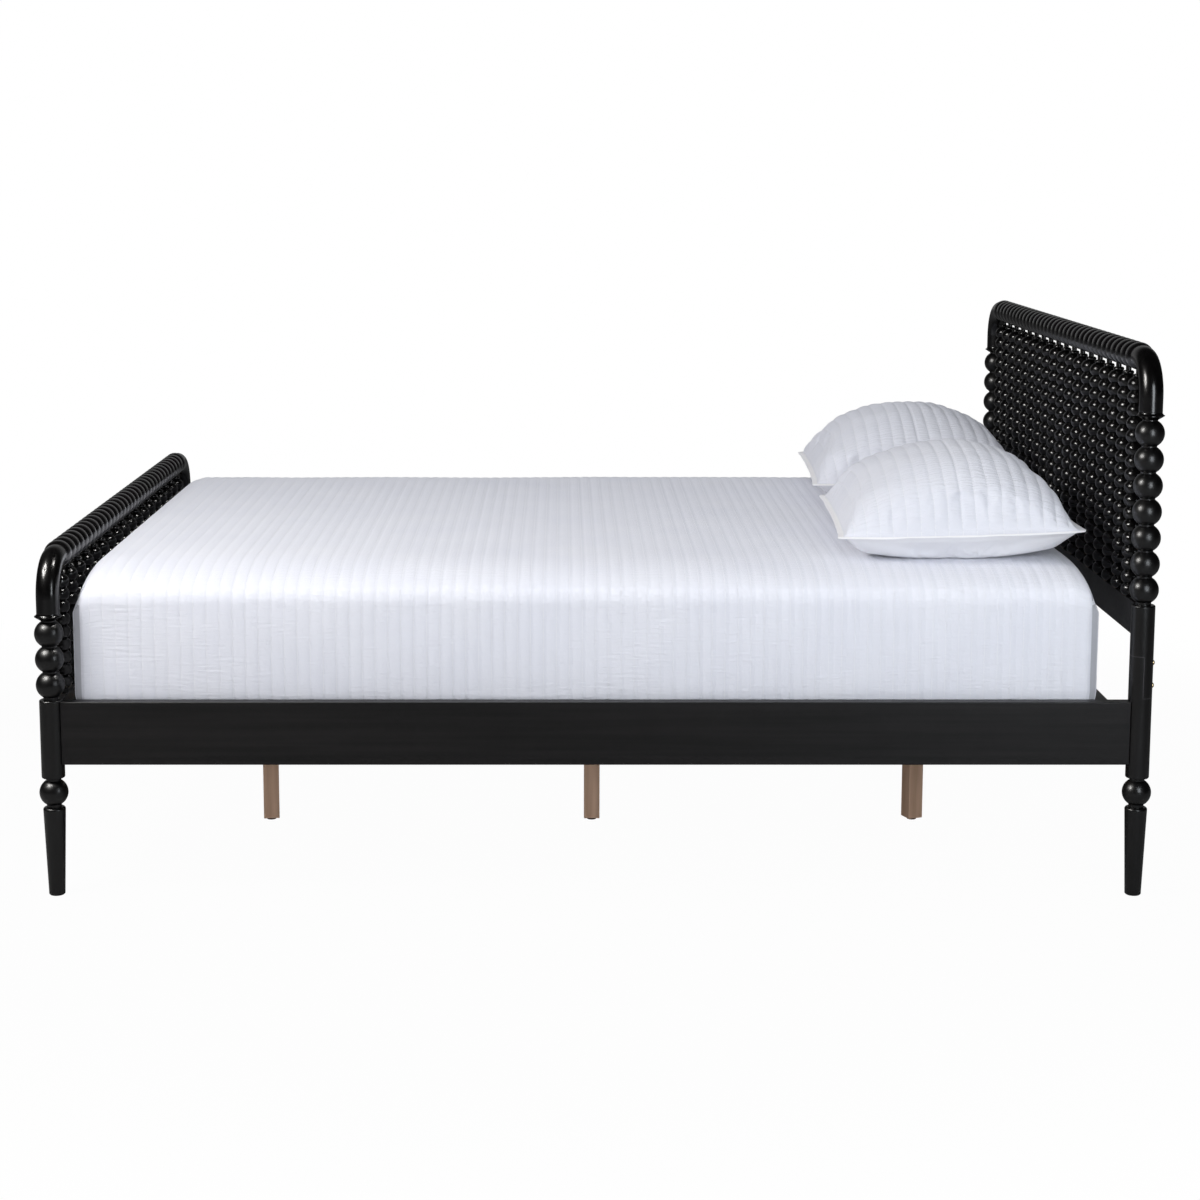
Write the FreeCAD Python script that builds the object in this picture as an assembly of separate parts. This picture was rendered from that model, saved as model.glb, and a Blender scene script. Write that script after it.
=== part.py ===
import FreeCAD, Part
import math
import os

from FreeCAD import Placement, Rotation, Vector

# Bobbin-turned platform bed with its mattress, quilted coverlet and two pillows.
# Millimetres. +X points to the head, +Y to the sleeper's right, +Z up.
# The origin lies on the floor, under the middle of the bed.

# The mattress that the bed is made for, and the room that the frame leaves round it, post to post
MATTRESS_LENGTH = 1990.0
MATTRESS_WIDTH = 1500.0
END_ROOM = 132.0
SIDE_ROOM = 60.0

# Turned legs and posts
LEG_FOOT_D = 31.5
LEG_TOP_D = 43.5
LEG_HEIGHT = 178.0
LEG_FOOT_CHAMFER = 2.0
LEG_SHOULDER_R = 5.0
BALL_D = 56.0
BALL_NECK_D = 29.0
BALL_PITCH = 50.8
NECK_LENGTH = 5.5
BARREL_D = 45.5
BARREL_SHOULDER_R = 3.0
FOOT_BARREL_TOP = 393.0
HEAD_BARREL_TOP = 581.0
FOOT_BALLS = 3
HEAD_BALLS = 7
POST_TENON_D = 20.0
POST_TENON_LENGTH = 30.0
BARREL_SEAT = 20.5

# Half lap between head leg and head post, and its bolts
LAP_BOTTOM = 399.0
LAP_TOP = 481.5
LAP_BOLT_RISES = (22.5, 67.5)
LAP_BOLT_D = 6.0
LAP_BOLT_REACH = 12.0
LAP_HEAD_D = 11.0
LAP_HEAD_HEIGHT = 4.2
LAP_HEAD_RIM = 1.0
LAP_HEAD_SEAT = 22.0
LAP_INSERT_D = 10.0
LAP_INSERT_LENGTH = 14.0

# Bent elbows with their flared collars
ELBOW_RISE = 113.0
ELBOW_BEND_R = 70.0
ELBOW_REACH = 80.0
TUBE_D = 45.0
COLLAR_BASE_D = 32.0
COLLAR_LIP_D = 53.6
COLLAR_LIP_RISE = 7.0
COLLAR_LIP_EDGE = 1.0
COLLAR_FLARE = 7.5

# Ringed top rails
RING_COUNT = 35
RING_D = 54.0
RING_GROOVE_D = 45.0
RAIL_TENON_D = 24.0
RAIL_TENON_LENGTH = 25.0

# Bobbin spindles
BEAD_D = 41.0
BEAD_GROOVE_D = 27.0
BEAD_PITCH = 25.4
HEAD_BEAD_COUNT = 17
FOOT_BEAD_COUNT = 9
BUTTON_D = 22.0
BUTTON_NECK_D = 17.0
BUTTON_HEIGHT = 8.0
SPINDLE_TENON_D = 11.0
SPINDLE_TENON_LENGTH = 14.0
FOOT_SPINDLE_BASE = 9.0

# Boards
BOARD_EASE = 1.5
SIDE_RAIL_BOTTOM = 265.0
SIDE_RAIL_HEIGHT = 125.0
SIDE_RAIL_THICKNESS = 26.0
CROSS_RAIL_THICKNESS = 25.0
HEAD_CROSS_HEIGHT = 55.0
FOOT_CROSS_HEIGHT = 119.0
HEAD_BOTTOM_RAIL_HEIGHT = 65.0
HEAD_BOTTOM_RAIL_DROP = 1.0
DOWEL_D = 8.0
DOWEL_LENGTH = 40.0
DOWEL_RISES = (12.0, 45.0)

# Bolts between side rails and posts
RAIL_BOLT_D = 6.0
RAIL_BOLT_RISES = (30.0, 95.0)
RAIL_BOLT_SINK = 8.0
RAIL_HEAD_D = 13.0
RAIL_HEAD_HEIGHT = 4.0
BARREL_NUT_D = 10.0
BARREL_NUT_LENGTH = 18.0
BARREL_NUT_INSET = 40.0
BOLT_PAST_NUT = 6.0

# Slats and the ledges that carry them
SLAT_TOP = 318.0
SLAT_THICKNESS = 18.0
SLAT_WIDTH = 70.0
SLAT_COUNT = 13
SLAT_SIDE_GAP = 2.0
DECK_END_GAP = 28.5
LEDGE_SIZE = 25.0
LEDGE_END_GAP = 23.5
SCREW_D = 4.0
SCREW_HEAD_D = 8.0
SCREW_HEAD_HEIGHT = 3.0
SCREW_BITE = 14.0
LEDGE_SCREW_GAP_COUNT = 2

# Centre beams, their end hangers and the support legs
BEAM_OFFSET = 260.0
BEAM_WIDTH = 45.0
BEAM_HEIGHT = 32.0
BEAM_END_GAP = 1.0
HANGER_STEEL = 2.0
HANGER_DEPTH = 30.0
HANGER_FLANGE = 16.0
HANGER_SIDE_GAP = 0.4
SUPPORT_SPACING = 704.0
SUPPORT_SIZE = 34.0
SUPPORT_EASE = 1.5
SUPPORT_TURNS = (8.0, 0.0, 22.0)
HANGER_BOLT_D = 8.0
HANGER_BOLT_IN_BEAM = 20.0
HANGER_BOLT_IN_LEG = 30.0
GLIDE_D = 20.0
GLIDE_HEIGHT = 5.0

# Mattress and coverlet
MATTRESS_X = -20.0
MATTRESS_HEIGHT = 303.0
MATTRESS_CROWN = 3.0
MATTRESS_BULGE = 6.0
MATTRESS_EDGE_R = 40.0
COVERLET_THICKNESS = 4.0
COVERLET_HEM = 20.0
CHANNEL_COUNT = 77
CHANNEL_DEPTH = 2.0
CHANNEL_STATION_COUNT = 3
END_STATION_COUNT = 6

# Pillows
PILLOW_LENGTH = 655.0
PILLOW_WIDTH = 494.0
PILLOW_PLACES = {"left": (230.0, -352.0), "right": (207.0, 328.0)}
PILLOW_TURN = -2.7
PILLOW_CROWN = 150.0
PILLOW_CROWN_SQUARE = 2.2
PILLOW_CROWN_ROUND = 0.75
PILLOW_BELLY = 63.0
PILLOW_EDGE = 6.0
PILLOW_WAIST = 22.0
PILLOW_TILT = 2.0
PILLOW_CHANNEL_COUNT = 18
PILLOW_CHANNEL_SWELL = 3.0
PILLOW_STATIONS = (-1.0, -0.94, -0.82, -0.62, -0.34, 0.0, 0.34, 0.62, 0.82, 0.94, 1.0)

# Clearances
FIT = 0.1
BORE_END_GAP = 1.0
SOFT_GAP = 0.3
PILLOW_GAP = 0.6

# Sizes worked out from those above
HEAD_X = (MATTRESS_LENGTH + END_ROOM) / 2
SIDE_Y = (MATTRESS_WIDTH + SIDE_ROOM) / 2
BARREL_R = BARREL_D / 2
NECK_R = BALL_NECK_D / 2
BALL_R = BALL_D / 2
BALL_RISE = math.sqrt(BALL_R ** 2 - NECK_R ** 2)
BALL_GAP = BALL_PITCH - 2 * BALL_RISE
LOW_BALL = LEG_HEIGHT + NECK_LENGTH + BALL_RISE
BARREL_BOTTOM = LOW_BALL + BALL_RISE + NECK_LENGTH
TUBE_R = TUBE_D / 2
RAIL_LENGTH = 2 * (SIDE_Y - ELBOW_REACH)
RING_PITCH = RAIL_LENGTH / RING_COUNT
SPINDLE_PITCH = 2 * RING_PITCH
SPINDLE_COUNT = (RING_COUNT + 1) // 2
SIDE_RAIL_TOP = SIDE_RAIL_BOTTOM + SIDE_RAIL_HEIGHT
HEAD_BOTTOM_RAIL_TOP = HEAD_BARREL_TOP - HEAD_BOTTOM_RAIL_DROP
HEAD_BOTTOM_RAIL_BASE = HEAD_BOTTOM_RAIL_TOP - HEAD_BOTTOM_RAIL_HEIGHT
FOOT_CROSS_TOP = SIDE_RAIL_BOTTOM + FOOT_CROSS_HEIGHT
SLAT_BOTTOM = SLAT_TOP - SLAT_THICKNESS
RAIL_INNER_Y = SIDE_Y - SIDE_RAIL_THICKNESS / 2
CROSS_INNER_X = HEAD_X - CROSS_RAIL_THICKNESS / 2
BEAM_BOTTOM = SLAT_BOTTOM - BEAM_HEIGHT
MATTRESS_BASE = SLAT_TOP + SOFT_GAP
MATTRESS_TOP = MATTRESS_BASE + MATTRESS_HEIGHT
COVERLET_GROWTH = COVERLET_THICKNESS + CHANNEL_DEPTH
SIDES = {"left": -1, "right": 1}

FULL_TURN = 360.0
QUARTER_TURN = 90.0
HALF_TURN = 180.0
DIAGONAL = math.sqrt(0.5)


def box(x0, x1, y0, y1, z0, z1):
    return Part.makeBox(x1 - x0, y1 - y0, z1 - z0, Vector(x0, y0, z0))


def rod(diameter, start, end):
    along = end.sub(start)
    return Part.makeCylinder(diameter / 2, along.Length, start, along)


def moved(shape, x, y, z, turn=0.0):
    copy = shape.copy()
    copy.Placement = Placement(Vector(x, y, z), Rotation(Vector(0, 0, 1), turn)).multiply(copy.Placement)
    return copy


def turned(profile):
    """Revolve a half profile about +Z.

    A step is (r, z) for a line, or (r, z, r, z) for an arc by way of a point.
    """
    start = Vector(profile[0][0], 0, profile[0][1])
    at = start
    edges = []
    for step in profile[1:]:
        end = Vector(step[-2], 0, step[-1])
        if len(step) == 4:
            edges.append(Part.Arc(at, Vector(step[0], 0, step[1]), end).toShape())
        else:
            edges.append(Part.makeLine(at, end))
        at = end
    edges.append(Part.makeLine(at, start))
    face = Part.Face(Part.Wire(edges))
    return face.revolve(Vector(0, 0, 0), Vector(0, 0, 1), FULL_TURN)


def ball_steps(centre):
    low = centre - BALL_RISE
    high = centre + BALL_RISE
    return [(NECK_R, low), (BALL_R, centre, NECK_R, high)]


def shoulder_up(radius, ease, top):
    """Steps that round a turned piece over from its side to its top face."""
    inner = radius - ease
    low = top - ease
    return [(radius, low), (inner + ease * DIAGONAL, low + ease * DIAGONAL, inner, top)]


def shoulder_out(radius, ease, bottom):
    """Steps that round a turned piece out from its bottom face to its side."""
    inner = radius - ease
    high = bottom + ease
    return [(inner, bottom), (inner + ease * DIAGONAL, high - ease * DIAGONAL, radius, high)]


def leg_steps():
    foot_r = LEG_FOOT_D / 2
    steps = [(0, 0), (foot_r - LEG_FOOT_CHAMFER, 0), (foot_r, LEG_FOOT_CHAMFER)]
    steps += shoulder_up(LEG_TOP_D / 2, LEG_SHOULDER_R, LEG_HEIGHT)
    steps += [(NECK_R, LEG_HEIGHT)]
    steps += ball_steps(LOW_BALL)
    steps += [(NECK_R, BARREL_BOTTOM)]
    steps += shoulder_out(BARREL_R, BARREL_SHOULDER_R, BARREL_BOTTOM)
    return steps


def post_top(barrel_top, balls):
    return barrel_top + NECK_LENGTH + 2 * BALL_RISE + (balls - 1) * BALL_PITCH + BALL_GAP


def stack_steps(barrel_top, balls):
    """From the barrel's shoulder up through the stacked balls to the tenon that enters the elbow."""
    tenon_r = POST_TENON_D / 2
    top = post_top(barrel_top, balls)
    steps = shoulder_up(BARREL_R, BARREL_SHOULDER_R, barrel_top)
    steps += [(NECK_R, barrel_top)]
    for i in range(balls):
        steps += ball_steps(barrel_top + NECK_LENGTH + BALL_RISE + i * BALL_PITCH)
    steps += [(NECK_R, top), (tenon_r, top), (tenon_r, top + POST_TENON_LENGTH), (0, top + POST_TENON_LENGTH)]
    return steps


def seat_cut(along, bottom, top):
    """A shallow housing across the barrel, facing the unit direction along, where a rail's end seats."""
    depth = BARREL_R - BARREL_SEAT + FIT
    cut = box(BARREL_SEAT, BARREL_SEAT + depth, -BARREL_R, BARREL_R, bottom, top)
    turn = math.degrees(math.atan2(along.y, along.x))
    return moved(cut, 0, 0, 0, turn)


def dowel_bores(along, bottom):
    cuts = []
    for rise in DOWEL_RISES:
        start = Vector(along.x * BARREL_SEAT, along.y * BARREL_SEAT, bottom + rise)
        back = Vector(along.x, along.y, 0).multiply(DOWEL_LENGTH / 2 + BORE_END_GAP)
        cuts.append(rod(DOWEL_D + 2 * FIT, start, start.sub(back)))
    return cuts


def rail_bolt_bores(along):
    """Through holes for the side rail's bolts, with a sunk seat for each head on the outer side."""
    cuts = []
    for rise in RAIL_BOLT_RISES:
        height = SIDE_RAIL_BOTTOM + rise
        inner = Vector(along.x * BARREL_R, 0, height)
        outer = Vector(-along.x * BARREL_R, 0, height)
        sunk = Vector(-along.x * (BARREL_R - RAIL_BOLT_SINK), 0, height)
        cuts.append(rod(RAIL_BOLT_D + 2 * FIT, inner, outer))
        cuts.append(rod(RAIL_HEAD_D + 2 * FIT, sunk, outer))
    return cuts


def foot_post(side):
    inward = Vector(1, 0, 0)
    across = Vector(0, -side, 0)
    post = turned(leg_steps() + stack_steps(FOOT_BARREL_TOP, FOOT_BALLS))
    cuts = [seat_cut(inward, SIDE_RAIL_BOTTOM, SIDE_RAIL_TOP)]
    cuts.append(seat_cut(across, SIDE_RAIL_BOTTOM, FOOT_CROSS_TOP))
    cuts += dowel_bores(across, SIDE_RAIL_BOTTOM)
    cuts += rail_bolt_bores(inward)
    return moved(post.cut(cuts), -HEAD_X, side * SIDE_Y, 0)


def lap_half(direction, bottom, top):
    """The half of the barrel on the +X or -X side of the lap plane, between two heights."""
    reach = direction * (BARREL_R + FIT)
    return box(min(0, reach), max(0, reach), -BARREL_R - FIT, BARREL_R + FIT, bottom, top)


def head_leg(side):
    inward = Vector(-1, 0, 0)
    across = Vector(0, -side, 0)
    leg = turned(leg_steps() + [(BARREL_R, LAP_TOP), (0, LAP_TOP)])
    cross_top = SIDE_RAIL_BOTTOM + HEAD_CROSS_HEIGHT
    cuts = [seat_cut(inward, SIDE_RAIL_BOTTOM, SIDE_RAIL_TOP), seat_cut(across, SIDE_RAIL_BOTTOM, cross_top)]
    cuts += dowel_bores(across, SIDE_RAIL_BOTTOM)
    cuts += rail_bolt_bores(inward)
    cuts.append(lap_half(1, LAP_BOTTOM, LAP_TOP + FIT))
    for rise in LAP_BOLT_RISES:
        mouth = Vector(0, 0, LAP_BOTTOM + rise)
        cuts.append(rod(LAP_INSERT_D + 2 * FIT, mouth, mouth.add(Vector(-LAP_INSERT_LENGTH, 0, 0))))
    return moved(leg.cut(cuts), HEAD_X, side * SIDE_Y, 0)


def head_post(side):
    across = Vector(0, -side, 0)
    post = turned([(0, LAP_BOTTOM), (BARREL_R, LAP_BOTTOM)] + stack_steps(HEAD_BARREL_TOP, HEAD_BALLS))
    cuts = [seat_cut(across, HEAD_BOTTOM_RAIL_BASE, HEAD_BOTTOM_RAIL_TOP)]
    cuts += dowel_bores(across, HEAD_BOTTOM_RAIL_BASE)
    cuts.append(lap_half(-1, LAP_BOTTOM - FIT, LAP_TOP))
    for rise in LAP_BOLT_RISES:
        mouth = Vector(0, 0, LAP_BOTTOM + rise)
        spot = mouth.add(Vector(LAP_HEAD_SEAT, 0, 0))
        outside = mouth.add(Vector(LAP_HEAD_SEAT + LAP_HEAD_HEIGHT, 0, 0))
        cuts.append(rod(LAP_BOLT_D + 2 * FIT, mouth, spot))
        cuts.append(rod(LAP_HEAD_D + 2 * FIT, spot, outside))
    return moved(post.cut(cuts), HEAD_X, side * SIDE_Y, 0)


def lap_bolt():
    """A bolt along +X: its shank starts inside the insert and its domed head ends it."""
    head_r = LAP_HEAD_D / 2
    shank_r = LAP_BOLT_D / 2
    top = LAP_BOLT_REACH + LAP_HEAD_SEAT
    crown = top + LAP_HEAD_HEIGHT
    rim = top + LAP_HEAD_RIM
    dome_r = (head_r ** 2 + (crown - rim) ** 2) / (2 * (crown - rim))
    half_angle = math.asin(head_r / dome_r) / 2
    mid_r = dome_r * math.sin(half_angle)
    mid_z = crown - dome_r + dome_r * math.cos(half_angle)
    bolt = turned([(0, 0), (shank_r, 0), (shank_r, top), (head_r, top), (head_r, rim),
                   (mid_r, mid_z, 0, crown)])
    bolt.rotate(Vector(0, 0, 0), Vector(0, 1, 0), QUARTER_TURN)
    return moved(bolt, -LAP_BOLT_REACH, 0, 0)


def lap_insert():
    outer = rod(LAP_INSERT_D, Vector(-LAP_INSERT_LENGTH, 0, 0), Vector(0, 0, 0))
    return outer.cut(rod(LAP_BOLT_D + 2 * FIT, Vector(-LAP_INSERT_LENGTH, 0, 0), Vector(0, 0, 0)))


def lap_set(piece):
    places = [(side * SIDE_Y, LAP_BOTTOM + rise) for side in SIDES.values() for rise in LAP_BOLT_RISES]
    return Part.makeCompound([moved(piece, HEAD_X, y, z) for y, z in places])


def elbow():
    """Stands on the post's top at the origin, rises along +Z and bends over towards +Y."""
    bend_start = ELBOW_RISE - ELBOW_BEND_R
    lip_r = COLLAR_LIP_D / 2
    lip_top = COLLAR_LIP_RISE + COLLAR_LIP_EDGE
    flare_top = lip_top + COLLAR_FLARE
    flare_mid = TUBE_R + (lip_r - TUBE_R) * (1 - DIAGONAL)
    lower = turned([(0, 0), (COLLAR_BASE_D / 2, 0), (lip_r, COLLAR_LIP_RISE), (lip_r, lip_top),
                    (flare_mid, flare_top - COLLAR_FLARE * DIAGONAL, TUBE_R, flare_top),
                    (TUBE_R, bend_start), (0, bend_start)])
    ring = Part.Wire(Part.makeCircle(TUBE_R, Vector(0, 0, bend_start), Vector(0, 0, 1)))
    bend = Part.Face(ring).revolve(Vector(0, ELBOW_BEND_R, bend_start), Vector(-1, 0, 0), QUARTER_TURN)
    mouth = Vector(0, ELBOW_REACH, ELBOW_RISE)
    straight = rod(TUBE_D, Vector(0, ELBOW_BEND_R, ELBOW_RISE), mouth)
    shape = lower.fuse([bend, straight]).removeSplitter()
    post_bore = rod(POST_TENON_D + 2 * FIT, Vector(0, 0, 0), Vector(0, 0, POST_TENON_LENGTH + BORE_END_GAP))
    back = mouth.add(Vector(0, -RAIL_TENON_LENGTH - BORE_END_GAP, 0))
    return shape.cut([post_bore, rod(RAIL_TENON_D + 2 * FIT, back, mouth)])


def placed_elbow(x, side, base):
    turn = 0.0 if side < 0 else HALF_TURN
    return moved(elbow(), x, side * SIDE_Y, base, turn)


def spindle_places():
    first = -SPINDLE_PITCH * (SPINDLE_COUNT - 1) / 2
    return [first + i * SPINDLE_PITCH for i in range(SPINDLE_COUNT)]


def top_rail(x, axis):
    """A ringed rail with a tenon at each end, bored from below for the spindles."""
    tenon_r = RAIL_TENON_D / 2
    groove_r = RING_GROOVE_D / 2
    steps = [(0, -RAIL_TENON_LENGTH), (tenon_r, -RAIL_TENON_LENGTH), (tenon_r, 0), (groove_r, 0)]
    for i in range(RING_COUNT):
        steps.append((RING_D / 2, (i + 0.5) * RING_PITCH, groove_r, (i + 1) * RING_PITCH))
    far_end = RAIL_LENGTH + RAIL_TENON_LENGTH
    steps += [(tenon_r, RAIL_LENGTH), (tenon_r, far_end), (0, far_end)]
    rail = turned(steps)
    rail.rotate(Vector(0, 0, 0), Vector(1, 0, 0), -QUARTER_TURN)
    rail = moved(rail, x, -RAIL_LENGTH / 2, axis)
    mouth = axis - RING_D / 2
    deep = mouth + SPINDLE_TENON_LENGTH + BORE_END_GAP
    return rail.cut([spindle_bore(x, y, mouth - FIT, deep) for y in spindle_places()])


def spindle_bore(x, y, bottom, top):
    return rod(SPINDLE_TENON_D + 2 * FIT, Vector(x, y, bottom), Vector(x, y, top))


def spindle(seat, base, beads, mouth):
    """A bobbin spindle: tenon, plain base, row of beads, small button and a neck into the top rail."""
    tenon_r = SPINDLE_TENON_D / 2
    button_neck_r = BUTTON_NECK_D / 2
    groove_r = BEAD_GROOVE_D / 2
    start = seat + base
    low_end = seat - SPINDLE_TENON_LENGTH
    steps = [(0, low_end), (tenon_r, low_end), (tenon_r, seat), (groove_r, seat)]
    if base > 0:
        steps.append((groove_r, start))
    for i in range(beads):
        steps.append((BEAD_D / 2, start + (i + 0.5) * BEAD_PITCH, groove_r, start + (i + 1) * BEAD_PITCH))
    button = start + beads * BEAD_PITCH
    button_top = button + BUTTON_HEIGHT
    steps.append((button_neck_r, button))
    steps.append((BUTTON_D / 2, button + BUTTON_HEIGHT / 2, button_neck_r, button_top))
    steps += [(tenon_r, button_top), (tenon_r, mouth + SPINDLE_TENON_LENGTH)]
    steps.append((0, mouth + SPINDLE_TENON_LENGTH))
    return turned(steps)


def spindle_row(x, seat, base, beads, axis):
    piece = spindle(seat, base, beads, axis - RING_D / 2)
    return Part.makeCompound([moved(piece, x, y, 0) for y in spindle_places()])


def eased(board, along):
    """Round the long edges of a board that runs along X or Y."""
    edges = []
    for edge in board.Edges:
        direction = edge.tangentAt(edge.FirstParameter)
        if abs(direction.dot(along)) > DIAGONAL:
            edges.append(edge)
    return board.makeFillet(BOARD_EASE, edges)


def cross_rail(x, bottom, height, holes_from_top):
    """A board between two posts, doweled into both, bored from above where it carries spindles."""
    reach = SIDE_Y - BARREL_SEAT
    half = CROSS_RAIL_THICKNESS / 2
    board = eased(box(x - half, x + half, -reach, reach, bottom, bottom + height), Vector(0, 1, 0))
    cuts = []
    for side in SIDES.values():
        for rise in DOWEL_RISES:
            end = Vector(x, side * reach, bottom + rise)
            back = Vector(0, side * (DOWEL_LENGTH / 2 + BORE_END_GAP), 0)
            cuts.append(rod(DOWEL_D + 2 * FIT, end.sub(back), end))
    if holes_from_top:
        top = bottom + height
        for y in spindle_places():
            cuts.append(spindle_bore(x, y, top - SPINDLE_TENON_LENGTH - BORE_END_GAP, top))
    return board.cut(cuts)


def rail_dowels():
    reach = SIDE_Y - BARREL_SEAT
    dowels = []
    rails = ((HEAD_X, SIDE_RAIL_BOTTOM), (-HEAD_X, SIDE_RAIL_BOTTOM), (HEAD_X, HEAD_BOTTOM_RAIL_BASE))
    for x, bottom in rails:
        for side in SIDES.values():
            for rise in DOWEL_RISES:
                middle = side * reach
                start = Vector(x, middle - DOWEL_LENGTH / 2, bottom + rise)
                dowels.append(rod(DOWEL_D, start, start.add(Vector(0, DOWEL_LENGTH, 0))))
    return Part.makeCompound(dowels)


def rail_bolt_places():
    """Post axis, bolt direction towards the bed's middle, side and height of every side rail bolt."""
    places = []
    for x, inward in ((-HEAD_X, 1), (HEAD_X, -1)):
        for side in SIDES.values():
            for rise in RAIL_BOLT_RISES:
                places.append((x, inward, side, SIDE_RAIL_BOTTOM + rise))
    return places


def nut_x(x, inward):
    return x + inward * (BARREL_SEAT + BARREL_NUT_INSET)


def nut_span(side):
    inner = side * RAIL_INNER_Y
    return inner, inner + side * BARREL_NUT_LENGTH


def rail_bolts():
    bolts = []
    for x, inward, side, height in rail_bolt_places():
        y = side * SIDE_Y
        seat = Vector(x - inward * (BARREL_R - RAIL_BOLT_SINK), y, height)
        head_end = seat.sub(Vector(inward * RAIL_HEAD_HEIGHT, 0, 0))
        tip = Vector(nut_x(x, inward) + inward * BOLT_PAST_NUT, y, height)
        bolts.append(rod(RAIL_BOLT_D, seat, tip).fuse(rod(RAIL_HEAD_D, head_end, seat)).removeSplitter())
    return Part.makeCompound(bolts)


def barrel_nuts():
    nuts = []
    for x, inward, side, height in rail_bolt_places():
        at = nut_x(x, inward)
        start, end = nut_span(side)
        nut = rod(BARREL_NUT_D, Vector(at, start, height), Vector(at, end, height))
        thread = Vector(at - BARREL_NUT_D, side * SIDE_Y, height)
        nuts.append(nut.cut(rod(RAIL_BOLT_D + 2 * FIT, thread, thread.add(Vector(2 * BARREL_NUT_D, 0, 0)))))
    return Part.makeCompound(nuts)


def side_rail(side):
    reach = HEAD_X - BARREL_SEAT
    half = SIDE_RAIL_THICKNESS / 2
    middle = side * SIDE_Y
    board = box(-reach, reach, middle - half, middle + half, SIDE_RAIL_BOTTOM, SIDE_RAIL_TOP)
    board = eased(board, Vector(1, 0, 0))
    cuts = []
    for x, inward, bolt_side, height in rail_bolt_places():
        if bolt_side == side:
            end = Vector(x + inward * BARREL_SEAT, middle, height)
            tip = Vector(nut_x(x, inward) + inward * (BOLT_PAST_NUT + BORE_END_GAP), middle, height)
            cuts.append(rod(RAIL_BOLT_D + 2 * FIT, end, tip))
            start, deep = nut_span(side)
            at = nut_x(x, inward)
            cuts.append(rod(BARREL_NUT_D + 2 * FIT, Vector(at, start, height), Vector(at, deep, height)))
    for x in ledge_screw_places():
        cuts.append(ledge_screw_hole(x, side))
    return board.cut(cuts)


def ledge_screw_places():
    """Midway between slats, at every second gap, clear of the slats' own screws."""
    slats = slat_places()
    return [(a + b) / 2 for a, b in list(zip(slats, slats[1:]))[::LEDGE_SCREW_GAP_COUNT]]


def ledge_screw_height():
    return SLAT_BOTTOM - LEDGE_SIZE / 2


def ledge_screw_hole(x, side):
    face = Vector(x, side * (RAIL_INNER_Y - LEDGE_SIZE), ledge_screw_height())
    tip = Vector(x, side * (RAIL_INNER_Y + SCREW_BITE), ledge_screw_height())
    return rod(SCREW_D + 2 * FIT, face, tip)


def slat_ledge(side):
    inner = side * (RAIL_INNER_Y - LEDGE_SIZE)
    outer = side * RAIL_INNER_Y
    half = CROSS_INNER_X - LEDGE_END_GAP
    ledge = box(-half, half, min(inner, outer), max(inner, outer), SLAT_BOTTOM - LEDGE_SIZE, SLAT_BOTTOM)
    cuts = []
    for x in ledge_screw_places():
        face = Vector(x, inner, ledge_screw_height())
        sunk = Vector(x, inner + side * SCREW_HEAD_HEIGHT, ledge_screw_height())
        cuts.append(ledge_screw_hole(x, side))
        cuts.append(rod(SCREW_HEAD_D + 2 * FIT, face, sunk))
    for x in slat_places():
        start = Vector(x, slat_screw_y(side), SLAT_BOTTOM)
        cuts.append(rod(SCREW_D + 2 * FIT, start, start.sub(Vector(0, 0, SCREW_BITE))))
    return ledge.cut(cuts)


def screw(length):
    """A flat-headed screw whose head's top lies at the origin, pointing down."""
    head = rod(SCREW_HEAD_D, Vector(0, 0, 0), Vector(0, 0, -SCREW_HEAD_HEIGHT))
    shank = rod(SCREW_D, Vector(0, 0, -SCREW_HEAD_HEIGHT), Vector(0, 0, -length))
    return head.fuse(shank).removeSplitter()


def ledge_screws():
    screws = []
    for side in SIDES.values():
        piece = screw(LEDGE_SIZE + SCREW_BITE)
        piece.rotate(Vector(0, 0, 0), Vector(1, 0, 0), side * QUARTER_TURN)
        y = side * (RAIL_INNER_Y - LEDGE_SIZE)
        screws += [moved(piece, x, y, ledge_screw_height()) for x in ledge_screw_places()]
    return Part.makeCompound(screws)


def slat_places():
    span = 2 * (CROSS_INNER_X - DECK_END_GAP) - SLAT_WIDTH
    return [-span / 2 + i * span / (SLAT_COUNT - 1) for i in range(SLAT_COUNT)]


def slat_screw_y(side):
    return side * (RAIL_INNER_Y - LEDGE_SIZE / 2)


def slat(x):
    reach = RAIL_INNER_Y - SLAT_SIDE_GAP
    half = SLAT_WIDTH / 2
    board = eased(box(x - half, x + half, -reach, reach, SLAT_BOTTOM, SLAT_TOP), Vector(0, 1, 0))
    cuts = []
    for side in SIDES.values():
        top = Vector(x, slat_screw_y(side), SLAT_TOP)
        cuts.append(rod(SCREW_D + 2 * FIT, top, top.sub(Vector(0, 0, SLAT_THICKNESS))))
        cuts.append(rod(SCREW_HEAD_D + 2 * FIT, top, top.sub(Vector(0, 0, SCREW_HEAD_HEIGHT))))
    return board.cut(cuts)


def slat_screws():
    piece = screw(SLAT_THICKNESS + SCREW_BITE)
    return Part.makeCompound([moved(piece, x, slat_screw_y(side), SLAT_TOP)
                              for x in slat_places() for side in SIDES.values()])


def support_places(side):
    return [((i - 1) * SUPPORT_SPACING, side * BEAM_OFFSET, turn) for i, turn in enumerate(SUPPORT_TURNS)]


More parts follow.
